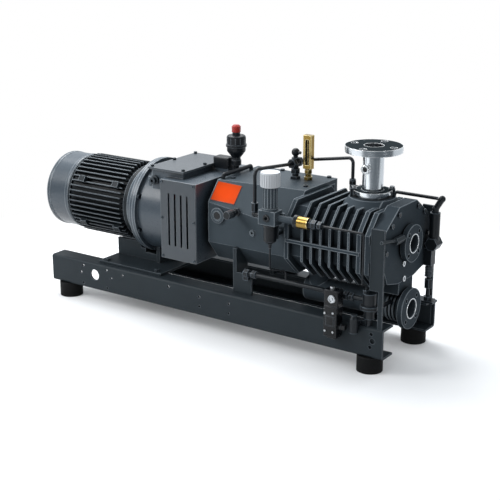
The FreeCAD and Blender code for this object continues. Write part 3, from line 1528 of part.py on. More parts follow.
def thermometer():
    """Brass case with a slotted front and its stem."""
    x, y = "thermometer_x", "thermometer_y"
    case = block(x + " - thermometer_half_width", x + " + thermometer_half_width", y + " - 9", y + " + 9",
                 "casing_top + 34", "thermometer_top")
    stem = rod("z", x, y, "casing_top", "9", "40")
    nut = hexagon("z", x, y, "casing_top", "14", "10")
    second = hexagon("z", x, y, "casing_top + 20", "12.5", "12")
    slot = block(x + " - 6.5", x + " + 6.5", y + " - 10", y + " - 3", "casing_top + 46", "thermometer_top - 14")
    tube = rod("z", x, y + " - 4.5", "casing_top + 44", "1.8", "thermometer_top - casing_top - 56")
    return keep(join(cut(join(case, stem, nut, second), slot), tube), "thermometer")


thermometer()


# Gas line with regulator, and the lines along the front

def tube(points, radius, bend=0.0):
    """A bent tube through points, with arcs of one radius at the corners."""
    spots = [Vector(*(doc.Sheet.evalExpression(formula(term)) for term in point)) for point in points]
    edges, at = [], spots[0]
    for before, corner, after in zip(spots, spots[1:], spots[2:]):
        back, ahead = (before - corner).normalize(), (after - corner).normalize()
        half = back.getAngle(ahead) / 2
        reach = bend / math.tan(half)
        start, end = corner + back * reach, corner + ahead * reach
        middle = (back + ahead).normalize()
        arc_middle = corner + middle * (bend / math.sin(half) - bend)
        edges += [Part.makeLine(at, start), Part.Arc(start, arc_middle, end).toShape()]
        at = end
    edges.append(Part.makeLine(at, spots[-1]))
    profile = Part.Wire(Part.makeCircle(radius, spots[0], (spots[1] - spots[0]).normalize()))
    item = doc.addObject("Part::Feature", "Tube")
    item.Shape = Part.Wire(edges).makePipeShell([profile], True, True)
    return item


def regulator_body():
    """Block with ports, the tall sleeve and the bracket to the casing."""
    x, y = "regulator_x", "regulator_y"
    wide, deep = "regulator_block_width / 2", "regulator_block_depth / 2"
    low, high = "regulator_block_bottom", "regulator_block_top"
    mid = "(%s + %s) / 2" % (low, high)
    parts = [
        block(x + " - " + wide, x + " + " + wide, y + " - " + deep, y + " + " + deep, low, high),
        rod("z", x, y, high, "regulator_sleeve_radius", "regulator_knob_bottom - %s" % high),
        rod("z", x, y, high, "regulator_sleeve_radius + 3", "7"),
        rod("x", x + " + " + wide, y, mid, "10", "check_valve_left - regulator_x - " + wide),
        block(x + " - 38", x + " + 38", y + " + 9", y + " + " + deep, mid + " - 12", mid + " + 12"),
        block(x + " - 14", x + " + 14", y + " + " + deep, y + " + %s + 5" % deep, "336", high),
        rod("y", x, y + " + %s + 5" % deep, "348", "8", "-casing_front - (%s) - %s - 5" % (y, deep)),
    ]
    port = rod("y", x, y + " - %s - 1" % deep, mid, "5", "9")
    return keep(cut(join(*parts), port), "regulator_body")


regulator_body()
keep(join(rod("z", "regulator_x", "regulator_y", "bowl_bottom", "bowl_radius", "regulator_block_bottom - bowl_bottom"),
          cone("z", "regulator_x", "regulator_y", "bowl_bottom - 10", "6", "bowl_radius", "10"),
          rod("z", "regulator_x", "regulator_y", "bowl_bottom - 22", "4.5", "14"),
          tube([("regulator_x", "regulator_y", "bowl_bottom - 21"),
                ("regulator_x", "regulator_y", "front_pipe_z + 38"), ("regulator_x + 34", "front_pipe_y", "front_pipe_z + 34"),
                ("regulator_x + 34", "front_pipe_y", "front_pipe_z + front_pipe_radius + seat_gap")], 2.5, 9.0)),
     "regulator_bowl")


def regulator_knob():
    """White knob with fine grooves round its side."""
    low = "regulator_knob_bottom + seat_gap"
    knob = rod("z", "regulator_x", "regulator_y", low, "regulator_knob_radius", "regulator_knob_height")
    ring = "(regulator_knob_radius + 0.6)"
    grooves = [rod("z", "regulator_x + %s * cos(%d)" % (ring, angle), "regulator_y + %s * sin(%d)" % (ring, angle),
                   low + " - 1", "1.2", "regulator_knob_height - 4") for angle in range(0, 360, 15)]
    return keep(cut(knob, *grooves), "regulator_knob")


regulator_knob()

line_z = "(regulator_block_bottom + regulator_block_top) / 2"
valve_end = "check_valve_left + check_valve_length"
keep(join(
    rod("x", "check_valve_left", "regulator_y", line_z, "check_valve_radius", "check_valve_length"),
    hexagon("x", "check_valve_left + 4", "regulator_y", line_z, "check_valve_radius + 1", "8"),
    rod("x", valve_end, "regulator_y", line_z, "11", "10")), "check_valve")
keep(join(
    hexagon("x", valve_end + " + 10", "regulator_y", line_z, "14", "14"),
    rod("x", valve_end + " + 24", "regulator_y", line_z, "7", "5"),
    hexagon("x", valve_end + " + 29", "regulator_y", line_z, "12", "12"),
    tube([(valve_end + " + 41", "regulator_y", line_z), ("purge_line_x", "regulator_y", line_z),
          ("purge_line_x", "regulator_y", "feed_pipe_z + 54"), ("purge_line_x", "feed_valve_y - 2", "feed_pipe_z + 42"),
          ("purge_line_x", "feed_valve_y - 2", "feed_pipe_z + 30 + seat_gap")], 3.2, 9.0)), "purge_line")


def pressure_switch():
    """Switch box on the front rail, with cap screw and cable plug."""
    left, right, low = "switch_left", "switch_left + switch_width", "switch_bottom"
    front, back = "switch_front", "-frame_width / 2"
    box = block(left, right, front, back, low, "switch_top")
    foot_piece = block(left + " + 6", right + " - 7", front + " + 9", back, low + " - 8", low)
    spots = (("26", "112", "11"), ("32", "72", "4"), ("6", "64", "4"), ("7", "24", "4"), ("33", "24", "4"))
    screws = [rod("y", left + " + " + x, front + " - 2.5", low + " + " + z, radius, "4")
              for x, z, radius in spots]
    plug = rod("x", right, back + " - 18", low + " + 30", "9", "20")
    return keep(join(box, foot_piece, plug, *screws), "pressure_switch")


pressure_switch()


def water_valve():
    """Feed valve on the rail with a bottom filter, its nuts and the pipe to the exhaust duct."""
    x, y = "feed_valve_x", "feed_valve_y"
    stages = [(rail_top, "9", "24"), ("feed_pipe_z - 52", "feed_valve_body - 4", "30"),
              ("feed_pipe_z - 24", "feed_valve_body + 7", "10"), ("feed_pipe_z - 14", "feed_valve_body", "36")]
    body = [rod("z", x, y, low, radius, length) for low, radius, length in stages]
    supply = [rod("x", "470", y, "feed_pipe_z", "7", "%s - 470" % x),
              hexagon("x", "488", y, "feed_pipe_z", "13", "11"),
              hexagon("x", "505", y, "feed_pipe_z", "12", "12")]
    inlet_nut = hexagon("z", "purge_line_x", y + " - 2", "feed_pipe_z + 20", "9.5", "10")
    outlet_z = "(feed_pipe_z - 32)"
    outlet = [rod("y", "feed_pipe_x", y, outlet_z, "6", "-(%s) - exhaust_duct_radius - 2.4" % y),
              hexagon("y", "feed_pipe_x", y + " + 16", outlet_z, "11", "10"),
              hexagon("y", "feed_pipe_x", y + " + 34", outlet_z, "10", "12")]
    cup = [rod("z", "filter_x", "filter_y", rail_top + " - 18", "13", "42"),
           cone("z", "filter_x", "filter_y", rail_top + " + 24", "13", "8", "10"),
           block("filter_x - 8", "filter_x + 8", "filter_y", y, rail_top + " + 2", rail_top + " + 14"),
           block("filter_x", x, y + " - 6", y + " + 6", rail_top + " + 2", rail_top + " + 14")]
    return keep(join(*body, *supply, inlet_nut, *outlet, *cup), "water_valve")


water_valve()
oil_pipe_end = ("front_pipe_end", "front_pipe_y", rail_top + " + seat_gap")
block_left = "regulator_x - regulator_block_width / 2"
keep(group(
    join(tube([("158", "front_pipe_y", "front_pipe_z"), ("front_pipe_end", "front_pipe_y", "front_pipe_z"),
               oil_pipe_end], size("front_pipe_radius"), 16.0),
         hexagon("x", "142", "front_pipe_y", "front_pipe_z", "13", "16"),
         hexagon("x", "170", "front_pipe_y", "front_pipe_z", "12", "14"),
         block("138", "156", "front_pipe_y - 4", "-casing_front - 13.2", "front_pipe_z - 22", "front_pipe_z - 6")),
    tube([("loop_x", "-54", "casing_top"), ("loop_x", "-54", "casing_top + 13"), ("loop_x", "95", "casing_top + 13"),
          ("loop_x", "95", "casing_top")], 6.0, 7.0),
    join(tube([("riser_x", "regulator_y", line_z), ("riser_x", "regulator_y", "riser_top"),
               ("valve_x", "valve_y - 24.9", "valve_port_height")], 5.0, 20.0),
         ball("riser_x", "regulator_y", line_z, "9"),
         rod("x", "riser_x", "regulator_y", line_z, "8", "%s - riser_x" % block_left),
         hexagon("z", "riser_x", "regulator_y", "%s + 8" % line_z, "11", "26"))), "front_pipes")


# Cooling water and purge connections at the rear and the suction end

def water_outlet():
    """The cooling water line that stands on the rear rail and runs back over the pump."""
    x, y, high_x = "outlet_x", "outlet_y", "outlet_x + outlet_offset"
    parts = [
        block(x + " - 14", x + " + 24", y + " - 14", y + " + 16", rail_top, rail_top + " + 6"),
        hexagon("z", x, y, rail_top + " + 6", "13", "12"),
        rod("z", x, y, rail_top + " + 6", "6", "110"),
        hexagon("z", x, y, rail_top + " + 44", "12", "28"),
        rod("z", x, y, rail_top + " + 80", "10", "36"),
        block(x + " - 12.5", x + " + 12.5", y + " - 13", y + " + 13", rail_top + " + 115", rail_top + " + 166"),
        hexagon("y", high_x, y + " - 20", "outlet_union", "20", "38"),
        rod("z", high_x, y, "outlet_union", "15", "92"),
        rod("z", high_x, y, "outlet_union + 92", "10", "8"),
        ball(high_x, y, "outlet_union + 102", "10.5"),
        tube([(high_x, y, "outlet_union + 102"), ("outlet_elbow_x", y, "outlet_top")], 9.0),
        ball("outlet_elbow_x", y, "outlet_top", "10")]
    knurls = [rod("z", x, y, "%s + %d" % (rail_top, 80 + 8 * step), "11.5", "4") for step in range(4)]
    return keep(join(*parts, *knurls), "drain_line")


water_outlet()
back_fin = "fin_first + 5 * fin_spacing + fin_thickness / 2"
keep(group(
    tube([("valve_x", "valve_y + 24 + seat_gap", "valve_port_height"), ("valve_x", "valve_y + 44", "valve_port_height"),
          ("vent_line_x", "vent_line_y", "vent_line_height"), ("vent_line_x", "vent_line_y", "fin_top + 34")], 5.0, 14.0),
    join(rod("z", "vent_line_x", "vent_line_y", "fin_top", "9", "34 - seat_gap"),
         hexagon("z", "vent_line_x", "vent_line_y", "fin_top + 18", "11.5", "12"),
         rod("x", "vent_line_x", "vent_line_y", "fin_top + 10", "7", "36"),
         hexagon("x", "vent_line_x + 24", "vent_line_y", "fin_top + 10", "10", "9")),
    tube([("outlet_elbow_x - 13.6", "outlet_y", "outlet_top"), (back_fin, "outlet_y", "outlet_top"),
          (back_fin, "outlet_y", "fin_top - 21")], 5.0, 10.0)), "rear_pipes")


def gather(label, *names):
    """Put finished pieces of one kind into a single group."""
    members = [thing for name in names for thing in pieces if thing.Label == name]
    for thing in members:
        pieces.remove(thing)
    return keep(group(*members), label)


stay = tube([("stay_x", "-frame_width / 2 - 12", "390"), ("stay_x", "-70", "373")], size("stay_radius"))
stay_nut = hexagon("y", "stay_x", "-97", "374", "10.5", "99.6 - end_port_radius")
weld("end_post_front", stay, stay_nut)
gather("rubber_feet", "foot_front_left", "foot_front_right", "foot_rear_left", "foot_rear_right")
gather("frame_bolts", "foot_bolts", "motor_plate_bolts")
gather("housing_bolts", "lantern_bolts", "top_cover_screws")
gather("gear_gussets", "gear_gusset_front", "gear_gusset_rear")
gather("end_posts", "end_post_front", "end_post_rear")
gather("motor_bearings", "motor_rear_bearing", "motor_front_bearing")
gather("vent_covers", "vent_cover_front", "vent_cover_rear")
gather("input_bearings", "cover_bearing", "carrier_bearing")
gather("inlet_clamps", "inlet_claws", "clamp_screws")
gather("terminal_box", "terminal_shell", "cable_gland")
gather("rigid_pipes", "front_pipes", "rear_pipes")
gather("rotor_bearings", "rotor_gear_side_bearings", "rotor_suction_side_bearings")


# Placing, checking and writing

for thing in pieces:
    for axis in "xy":
        spot = "Placement.Base." + axis
        own = next((text for path, text in thing.ExpressionEngine if path.lstrip(".") == spot), "0")
        thing.setExpression(spot, "(%s) - Sheet.middle_offset_%s" % (own, axis))
doc.recompute()

faults = [item.Name + " " + item.Label for item in doc.Objects
          if "Invalid" in item.State or "Error" in item.State]
faults += [thing.Label for thing in pieces if thing.Shape.isNull() or not thing.Shape.isValid()]
if faults:
    raise RuntimeError("These objects failed: " + ", ".join(sorted(set(faults))))

os.makedirs("parts", exist_ok=True)
whole = FreeCAD.BoundBox()
for thing in pieces:
    thing.Shape.exportStep("parts/%s.step" % thing.Label)
    whole.add(thing.Shape.BoundBox)
    print("%-26s solids %2d volume %10.0f" % (thing.Label, len(thing.Shape.Solids), thing.Shape.Volume))
print("pieces", len(pieces), "box", [round(v, 2) for v in (whole.XMin, whole.XMax, whole.YMin,
                                                          whole.YMax, whole.ZMin, whole.ZMax)])
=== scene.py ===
"""Dry screw vacuum pump on its base frame, dressed for a catalogue picture."""
from __future__ import annotations

import logging
import math
from abc import ABC, abstractmethod
from dataclasses import dataclass, field
from enum import Enum

import bmesh
import bpy
from mathutils import Euler, Matrix, Vector


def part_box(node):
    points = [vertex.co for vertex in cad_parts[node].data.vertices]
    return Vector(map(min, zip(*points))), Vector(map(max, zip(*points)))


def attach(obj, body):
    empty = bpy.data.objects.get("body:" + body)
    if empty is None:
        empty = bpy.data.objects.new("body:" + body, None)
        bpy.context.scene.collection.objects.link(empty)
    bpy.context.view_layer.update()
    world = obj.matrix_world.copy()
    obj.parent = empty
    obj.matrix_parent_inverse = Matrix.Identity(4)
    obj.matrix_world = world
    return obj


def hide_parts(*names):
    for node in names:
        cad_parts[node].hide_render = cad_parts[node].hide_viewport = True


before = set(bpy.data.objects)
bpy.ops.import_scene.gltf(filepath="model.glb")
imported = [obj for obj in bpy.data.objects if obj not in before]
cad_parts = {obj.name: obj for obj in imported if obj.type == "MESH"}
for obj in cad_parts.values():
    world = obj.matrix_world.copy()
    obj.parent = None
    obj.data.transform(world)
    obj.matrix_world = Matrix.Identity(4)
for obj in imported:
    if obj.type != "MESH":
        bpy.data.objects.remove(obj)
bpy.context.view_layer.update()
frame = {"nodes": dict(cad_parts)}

log = logging.getLogger("pump_scene")

# A millimetre in metres, a metre in millimetres, and the metres within which two corners are one
MM = 0.001
METRE = 1000
MERGE_DISTANCE = 1e-6
# Half the width of the base frame over its rails, in millimetres
RAIL_HALF_WIDTH = 164.0
Tree = bpy.types.NodeTree
Socket = bpy.types.NodeSocket
Mesh = bpy.types.Mesh
Point = tuple[float, float, float]
Pair = tuple[float, float]
Profile = tuple[Pair, ...]


class Along(Enum):
    """The way a screw head or a turned piece points, as a rotation of +Z."""

    UP = (0.0, 0.0, 0.0)
    RIGHT = (0.0, math.pi / 2, 0.0)
    FRONT = (math.pi / 2, 0.0, 0.0)
    REAR = (-math.pi / 2, 0.0, 0.0)


class Head(Enum):
    """The kinds of fastener heads on the pump, as the number of their sides."""

    HEX = 6
    SOCKET = 24


# Width of the hole in a head as a share of the head's own
HOLE_SHARE = {Head.HEX: 0.02, Head.SOCKET: 0.52}
# Settings of the colour mixing node, and its sockets: both colours and the result
COLOUR = {"data_type": "RGBA", "clamp_result": True}
FIRST, SECOND, MIXED = 6, 7, 2
# Cosines between which an edge gets the painted highlight
EDGE_HIGHLIGHT_TURN = (0.99, 0.9)
# Open shares of the sky between which an edge is bright, and a hollow loses its shade
EDGE_SKY = (0.5, 0.8)
HOLLOW_SKY = (0.1, 0.75)
# Middle part of the grain's noise, which spreads the roughness
GRAIN_SPAN = (0.3, 0.7)
LEVEL_COSINE = 0.9
LEAST_ROUGHNESS = 0.04
LEAST_SKY_MM = 10.0
METAL_SPECULAR = 0.3
SHADE_SAMPLES = 8
BEVEL_SAMPLES = 4

# Finishes


def srgb(code: str) -> tuple[float, float, float, float]:
    """Turn an sRGB hex colour into a linear one.

    Args:
        code: Six hex digits.

    Returns:
        Red, green, blue and alpha.
    """
    parts = [int(code[i:i + 2], 16) / 255 for i in (0, 2, 4)]
    linear = [p / 12.92 if p <= 0.04045 else ((p + 0.055) / 1.055) ** 2.4 for p in parts]
    return (*linear, 1.0)


@dataclass(frozen=True)
class Graph:
    """A node tree under construction."""

    tree: Tree

    @classmethod
    def of(cls, owner: bpy.types.Material | bpy.types.World) -> Graph:
        """Switch a material or a world to nodes and clear them.

        Args:
            owner: The material or world.

        Returns:
            Its empty tree.
        """
        owner.use_nodes = True
        owner.node_tree.nodes.clear()
        return cls(owner.node_tree)

    def node(self, kind: str, inputs: dict[str | int, object] | None = None,
             **settings: object) -> bpy.types.Node:
        """Add a node.

        Args:
            kind: Its type name.
            inputs: Its inputs by name or index: values or sockets, or a node for its first output.
            settings: Its own properties.

        Returns:
            The new node.
        """
        node = self.tree.nodes.new(kind)
        for name, value in settings.items():
            setattr(node, name, value)
        for name, value in (inputs or {}).items():
            source = value.outputs[0] if isinstance(value, bpy.types.Node) else value
            if isinstance(source, Socket):
                self.tree.links.new(source, node.inputs[name])
            else:
                node.inputs[name].default_value = source
        return node


@dataclass(frozen=True)
class Finish:
    """A surface finish on one kind of material, with its real sizes in millimetres.

    The grain is a fine relief, the drift a slow change of tone over the piece. Outer edges
    that see open sky get a painted highlight, and hollows get painted shade.
    """

    name: str
    tone: str
    dark_tone: str
    roughness: float
    metallic: float = 0.0
    grain_mm: float = 1.0
    grain_height_mm: float = 0.01
    wave_mm: float = 0.0
    wave_height_mm: float = 0.0
    drift_mm: float = 90.0
    roughness_spread: float = 0.08
    specular: float = 0.5
    coat: float = 0.0
    coat_roughness: float = 0.2
    edge_mm: float = 1.0
    edge_tone: str = "99a2a9"
    edge_strength: float = 0.0
    shine_mm: float = 5.5
    hollow_mm: float = 0.0
    hollow_shade_depth: float = 0.7
    stretch: Point = (1.0, 1.0, 1.0)
    face_tone: str = ""
    face_height_mm: float = 0.0

    def colour(self, graph: Graph, drift: Socket) -> Socket:
        """Mix the tones, the painted highlight on outer edges and the painted shade in hollows.

        Args:
            graph: The material's tree.
            drift: The slow noise that chooses between the two tones.

        Returns:
            The colour socket.
        """
        tone = graph.node("ShaderNodeMix", {
            0: drift, FIRST: srgb(self.dark_tone), SECOND: srgb(self.tone)}, **COLOUR).outputs[MIXED]
        if self.face_tone:
            tone = graph.node("ShaderNodeMix", {
                0: self.mill_face(graph), FIRST: tone, SECOND: srgb(self.face_tone)}, **COLOUR).outputs[MIXED]
        sky = graph.node("ShaderNodeAmbientOcclusion", {"Distance": max(self.hollow_mm, LEAST_SKY_MM) * MM},
                         samples=SHADE_SAMPLES).outputs["AO"]
        # Painted highlight: outer edges that see open sky are mixed towards the light edge tone
        if self.edge_strength > 0:
            rounded = graph.node("ShaderNodeBevel", {"Radius": self.shine_mm * MM}, samples=SHADE_SAMPLES)
            flat = graph.node("ShaderNodeNewGeometry").outputs["Normal"]
            turn = graph.node("ShaderNodeVectorMath", {0: rounded, 1: flat}, operation="DOT_PRODUCT")
            edge_highlight = graph.node("ShaderNodeMapRange", {
                "Value": turn.outputs["Value"], "From Min": EDGE_HIGHLIGHT_TURN[0], "From Max": EDGE_HIGHLIGHT_TURN[1],
                "To Max": self.edge_strength})
            lit = graph.node("ShaderNodeMapRange", {
                "Value": sky, "From Min": EDGE_SKY[0], "From Max": EDGE_SKY[1]})
            bright = graph.node("ShaderNodeMath", {0: edge_highlight, 1: lit}, operation="MULTIPLY")
            tone = graph.node("ShaderNodeMix", {
                0: bright, FIRST: tone, SECOND: srgb(self.edge_tone)}, **COLOUR).outputs[MIXED]
        # Painted shade: hollows that see little sky are darkened
        if self.hollow_mm > 0:
            shade = graph.node("ShaderNodeMapRange", {
                "Value": sky, "From Min": HOLLOW_SKY[0], "From Max": HOLLOW_SKY[1],
                "To Min": 1 - self.hollow_shade_depth})
            tone = graph.node("ShaderNodeMix", {0: 1.0, FIRST: tone, SECOND: shade}, blend_type="MULTIPLY",
                              **COLOUR).outputs[MIXED]
        return tone

    def mill_face(self, graph: Graph) -> Socket:
        """Find the level face near the top of the piece.

        Args:
            graph: The material's tree.

        Returns:
            A socket that is one on that face and nought elsewhere.
        """
        normal = graph.node("ShaderNodeNewGeometry").outputs["Normal"]
        place = graph.node("ShaderNodeTexCoord").outputs["Object"]
        tests = []
        for socket, least in ((normal, LEVEL_COSINE), (place, self.face_height_mm * MM)):
            upward = graph.node("ShaderNodeSeparateXYZ", {0: socket}).outputs["Z"]
            tests.append(graph.node("ShaderNodeMath", {0: upward, 1: least}, operation="GREATER_THAN"))
        both = graph.node("ShaderNodeMath", {0: tests[0], 1: tests[1]}, operation="MULTIPLY")
        return both.outputs[0]

    def make(self) -> bpy.types.Material:
        """Build the material's node tree.

        Returns:
            The finished material.
        """
        material = bpy.data.materials.new(self.name)
        graph = Graph.of(material)
        place = graph.node("ShaderNodeTexCoord").outputs["Object"]
        fitted = graph.node("ShaderNodeMapping", {"Scale": self.stretch, "Vector": place})
        drift = graph.node("ShaderNodeTexNoise", {
            "Vector": place, "Scale": METRE / self.drift_mm, "Detail": 3.0, "Roughness": 0.6}).outputs["Fac"]
        grain = graph.node("ShaderNodeTexNoise", {
            "Vector": fitted, "Scale": METRE / self.grain_mm, "Detail": 2.0}).outputs["Fac"]
        rough = graph.node("ShaderNodeMapRange", {
            "Value": grain, "From Min": GRAIN_SPAN[0], "From Max": GRAIN_SPAN[1],
            "To Min": max(LEAST_ROUGHNESS, self.roughness - self.roughness_spread),
            "To Max": min(1.0, self.roughness + self.roughness_spread)})
        normal = graph.node("ShaderNodeBevel", {"Radius": self.edge_mm * MM}, samples=BEVEL_SAMPLES)
        if self.wave_mm > 0:
            wave = graph.node("ShaderNodeTexNoise", {
                "Vector": place, "Scale": METRE / self.wave_mm, "Detail": 1.0})
            normal = graph.node("ShaderNodeBump", {
                "Strength": 1.0, "Distance": self.wave_height_mm * MM, "Height": wave.outputs["Fac"],
                "Normal": normal})
        bump = graph.node("ShaderNodeBump", {
            "Strength": 0.7, "Distance": self.grain_height_mm * MM, "Height": grain, "Normal": normal})
        metallic, specular = self.metallic, self.specular
        if self.face_tone:
            metallic = graph.node("ShaderNodeMath", {0: 1.0, 1: self.mill_face(graph)}, operation="SUBTRACT")
            specular = graph.node("ShaderNodeMath", {0: metallic, 1: METAL_SPECULAR}, operation="MULTIPLY")
        shader = graph.node("ShaderNodeBsdfPrincipled", {
            "Base Color": self.colour(graph, drift), "Metallic": metallic, "Roughness": rough, "IOR": 1.5,
            "Specular IOR Level": specular, "Coat Weight": self.coat, "Coat Roughness": self.coat_roughness,
            "Normal": bump})
        graph.node("ShaderNodeOutputMaterial", {"Surface": shader})
        material.diffuse_color = srgb(self.tone)
        return material


@dataclass
class Paintbox:
    """Every finish on the pump, made once and shared."""

    # Polyester powder coat on folded steel: even, satin, with a faint orange peel.
    powder_coat: Finish = Finish(
        "powder_coated_rail", "2c3439", "242b30", 0.5, specular=0.2, grain_mm=2.4, grain_height_mm=0.05,
        wave_mm=60, wave_height_mm=0.35, edge_mm=2.4, edge_tone="98a2ab", edge_strength=0.4, shine_mm=3.2,
        hollow_mm=30, hollow_shade_depth=0.45)
    # Two-pack paint over a sand casting: the grain of the mould shows through as soft pits.
    cast_paint: Finish = Finish(
        "painted_sand_casting", "495259", "3b444a", 0.5, specular=0.1, grain_mm=4, grain_height_mm=0.2,
        wave_mm=45, wave_height_mm=0.6, edge_mm=2.6, edge_strength=0.8, hollow_mm=45)
    # The smoother castings at the drive end, rubbed down before the paint: a brighter sheen.
    smooth_paint: Finish = Finish(
        "painted_smooth_casting", "48525b", "3b454e", 0.33, grain_mm=3.2, grain_height_mm=0.12, wave_mm=60,
        wave_height_mm=0.5, edge_mm=2.4, edge_tone="a2abb2", edge_strength=0.85, hollow_mm=45,
        hollow_shade_depth=0.85)
    # The same paint between deep fins, with painted shade that makes it nearly black inside and a painted
    # highlight on the fin tips.
    cylinder_paint: Finish = Finish(
        "painted_fin_casting", "434c53", "343c42", 0.56, specular=0.04, grain_mm=3.6, grain_height_mm=0.18,
        wave_mm=40, wave_height_mm=0.5, edge_mm=2.6, edge_strength=0.9, hollow_mm=50, hollow_shade_depth=0.92)
    # Motor castings under a smoother grey enamel.
    motor_paint: Finish = Finish(
        "painted_motor_casting", "1f262b", "191f23", 0.46, specular=0.2, grain_mm=3, grain_height_mm=0.12,
        wave_mm=50, wave_height_mm=0.4, edge_mm=2.2, edge_tone="8f989f", edge_strength=0.8, shine_mm=4,
        hollow_mm=28, hollow_shade_depth=0.9)
    # Flat folded covers, painted lighter, with a painted highlight line at every cut edge.
    sheet_paint: Finish = Finish(
        "painted_cover_sheet", "464d53", "3f454b", 0.42, grain_mm=2, grain_height_mm=0.04, wave_mm=90,
        wave_height_mm=0.5, edge_mm=1.6, edge_tone="a0a8ae", edge_strength=0.5, shine_mm=2.5, hollow_mm=30)
    # Moulded rubber: deep black and matt, with a soft sheen from mould release.
    rubber: Finish = Finish(
        "moulded_black_rubber", "0c0d0e", "08090a", 0.75, specular=0.2, grain_mm=1.6, grain_height_mm=0.06,
        edge_mm=2, edge_tone="2a2c2e", edge_strength=0.5)
    # Oil-blackened steel fittings: dark, with small sharp highlights and a painted highlight on their edges.
    black_steel: Finish = Finish(
        "blackened_steel_fitting", "171d22", "10151a", 0.38, metallic=0.2, specular=0.35, grain_mm=1.4,
        grain_height_mm=0.03, edge_mm=1.6, edge_tone="75828d", edge_strength=0.7, shine_mm=3.5)
    # Glass-filled nylon: slightly open grain and a broad sheen.
    black_plastic: Finish = Finish(
        "black_glass_filled_nylon", "12171c", "0c1015", 0.4, specular=0.3, grain_mm=1.2,
        grain_height_mm=0.03, edge_mm=1.6, edge_tone="747b82", edge_strength=0.7, shine_mm=3.5)
    # Smooth black housing, almost a mirror at low angles.
    gloss_plastic: Finish = Finish(
        "gloss_black_housing", "0a0d11", "07090d", 0.26, specular=0.25, grain_mm=2, roughness_spread=0.04,
        coat=0.06, coat_roughness=0.1, edge_mm=1.6, edge_tone="4a4f54", edge_strength=0.6)
    # Stainless steel off the lathe: rings of tool marks stretch the light upwards.
    turned_steel: Finish = Finish(
        "turned_stainless_steel", "cfd3d6", "b2b7bb", 0.2, metallic=1, grain_mm=1.6, stretch=(1, 1, 7),
        edge_tone="f2f4f5", edge_strength=0.6)
    # The same steel on the inlet, with the level top face of its flange coloured dark and not metallic.
    inlet_steel: Finish = Finish(
        "mill_faced_inlet_steel", "dfe3e6", "c6cbcf", 0.15, metallic=1, grain_mm=1.6, stretch=(1, 1, 7),
        edge_mm=1.2, edge_tone="f2f4f5", edge_strength=0.9, face_tone="2c3235", face_height_mm=440)
    # Ground and hardened gear steel.
    ground_steel: Finish = Finish(
        "ground_gear_steel", "a7abaf", "8e9296", 0.3, metallic=1, grain_height_mm=0.02, stretch=(7, 1, 1),
        edge_mm=0.6)
    # Bright zinc plate on small screws and nuts.
    zinc_plate: Finish = Finish(
        "bright_zinc_plate", "c9ccce", "a4a8ac", 0.24, metallic=1, grain_mm=1.2, edge_mm=0.6)
    # Polished brass, with painted shade in the hollows.
    brass: Finish = Finish(
        "polished_brass", "a98c4c", "75602f", 0.26, metallic=1, grain_mm=1.4, grain_height_mm=0.015,
        stretch=(1, 1, 5), edge_mm=1.2, edge_tone="f4e6b4", edge_strength=0.6, hollow_mm=10,
        hollow_shade_depth=0.8)
    # Acetal knob, milky white with a soft sheen.
    white_knob: Finish = Finish(
        "white_acetal_knob", "e3e6ea", "d3d7dc", 0.34, hollow_mm=6, hollow_shade_depth=0.5)
    # Dip-moulded vinyl cap: saturated, glossy.
    red_cap: Finish = Finish(
        "red_vinyl_cap", "bb2f22", "931f15", 0.3, specular=0.3, grain_mm=1.2, coat=0.5, coat_roughness=0.12,
        edge_mm=1.4)
    # Screen-printed aluminium plate.
    orange_plate: Finish = Finish(
        "orange_printed_plate", "e84a04", "d94202", 0.5, specular=0.06, edge_mm=0.5, edge_tone="7a3618",
        edge_strength=0.5)
    # The plate's pressed rim, where the print is worn to a brown line.
    plate_edge: Finish = Finish("worn_plate_rim", "6a3018", "4b2414", 0.45, edge_mm=0.4)
    # Cast polyurethane spider of the coupling.
    polyurethane: Finish = Finish("red_polyurethane_star", "a8322a", "8e2620", 0.45, grain_height_mm=0.05)
    # Punched and stacked sheets, seen from their edges.
    stator_iron: Finish = Finish(
        "stacked_stator_sheet", "8b8f93", "6f7377", 0.4, metallic=0.9, grain_height_mm=0.05,
        stretch=(7, 1, 1), edge_mm=0.5)
    made: dict[str, bpy.types.Material] = field(default_factory=dict)

    def get(self, name: str) -> bpy.types.Material:
        """Return the material of a finish, made on first use.

        Args:
            name: The field's name in this box.

        Returns:
            The material.
        """
        if name not in self.made:
            self.made[name] = getattr(self, name).make()
        return self.made[name]


# Meshes


@dataclass
class Bench:
    """What every sub-assembly works with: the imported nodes, the finishes and the place of the frame."""

    nodes: dict[str, bpy.types.Object]
    paints: Paintbox
    shift: Vector
    heads: Tree
    ribs: Tree

    def at(self, x: float, y: float, z: float) -> Vector:
        """Turn millimetres from the middle of the base frame into metres in the row frame."""
        return Vector((x, y, z)) * MM + self.shift

    def dress(self, finish: str, *names: str) -> None:
        """Give CAD nodes one finish.

        Args:
            finish: Name of the finish in the paint box.
            names: The nodes.
        """
        for name in names:
            node = self.nodes[name]
            node.data.materials.clear()
            node.data.materials.append(self.paints.get(finish))

    def settle(self, name: str, mesh: Mesh, body: str, finish: str = "") -> bpy.types.Object:
        """Put a finished mesh into the scene at the origin, on its body.

        Args:
            name: Piece name.
            mesh: The mesh, already in place.
            body: The CAD body it rides on.
            finish: Finish for the whole mesh, or empty to keep its own materials.

        Returns:
            The object.
        """
        piece = bpy.data.objects.new(name, mesh)
        bpy.context.scene.collection.objects.link(piece)
        if finish:
            mesh.materials.clear()
            mesh.materials.append(self.paints.get(finish))
        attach(piece, body)
        log.info("%s: %d faces on %s", name, len(mesh.polygons), body)
        return piece


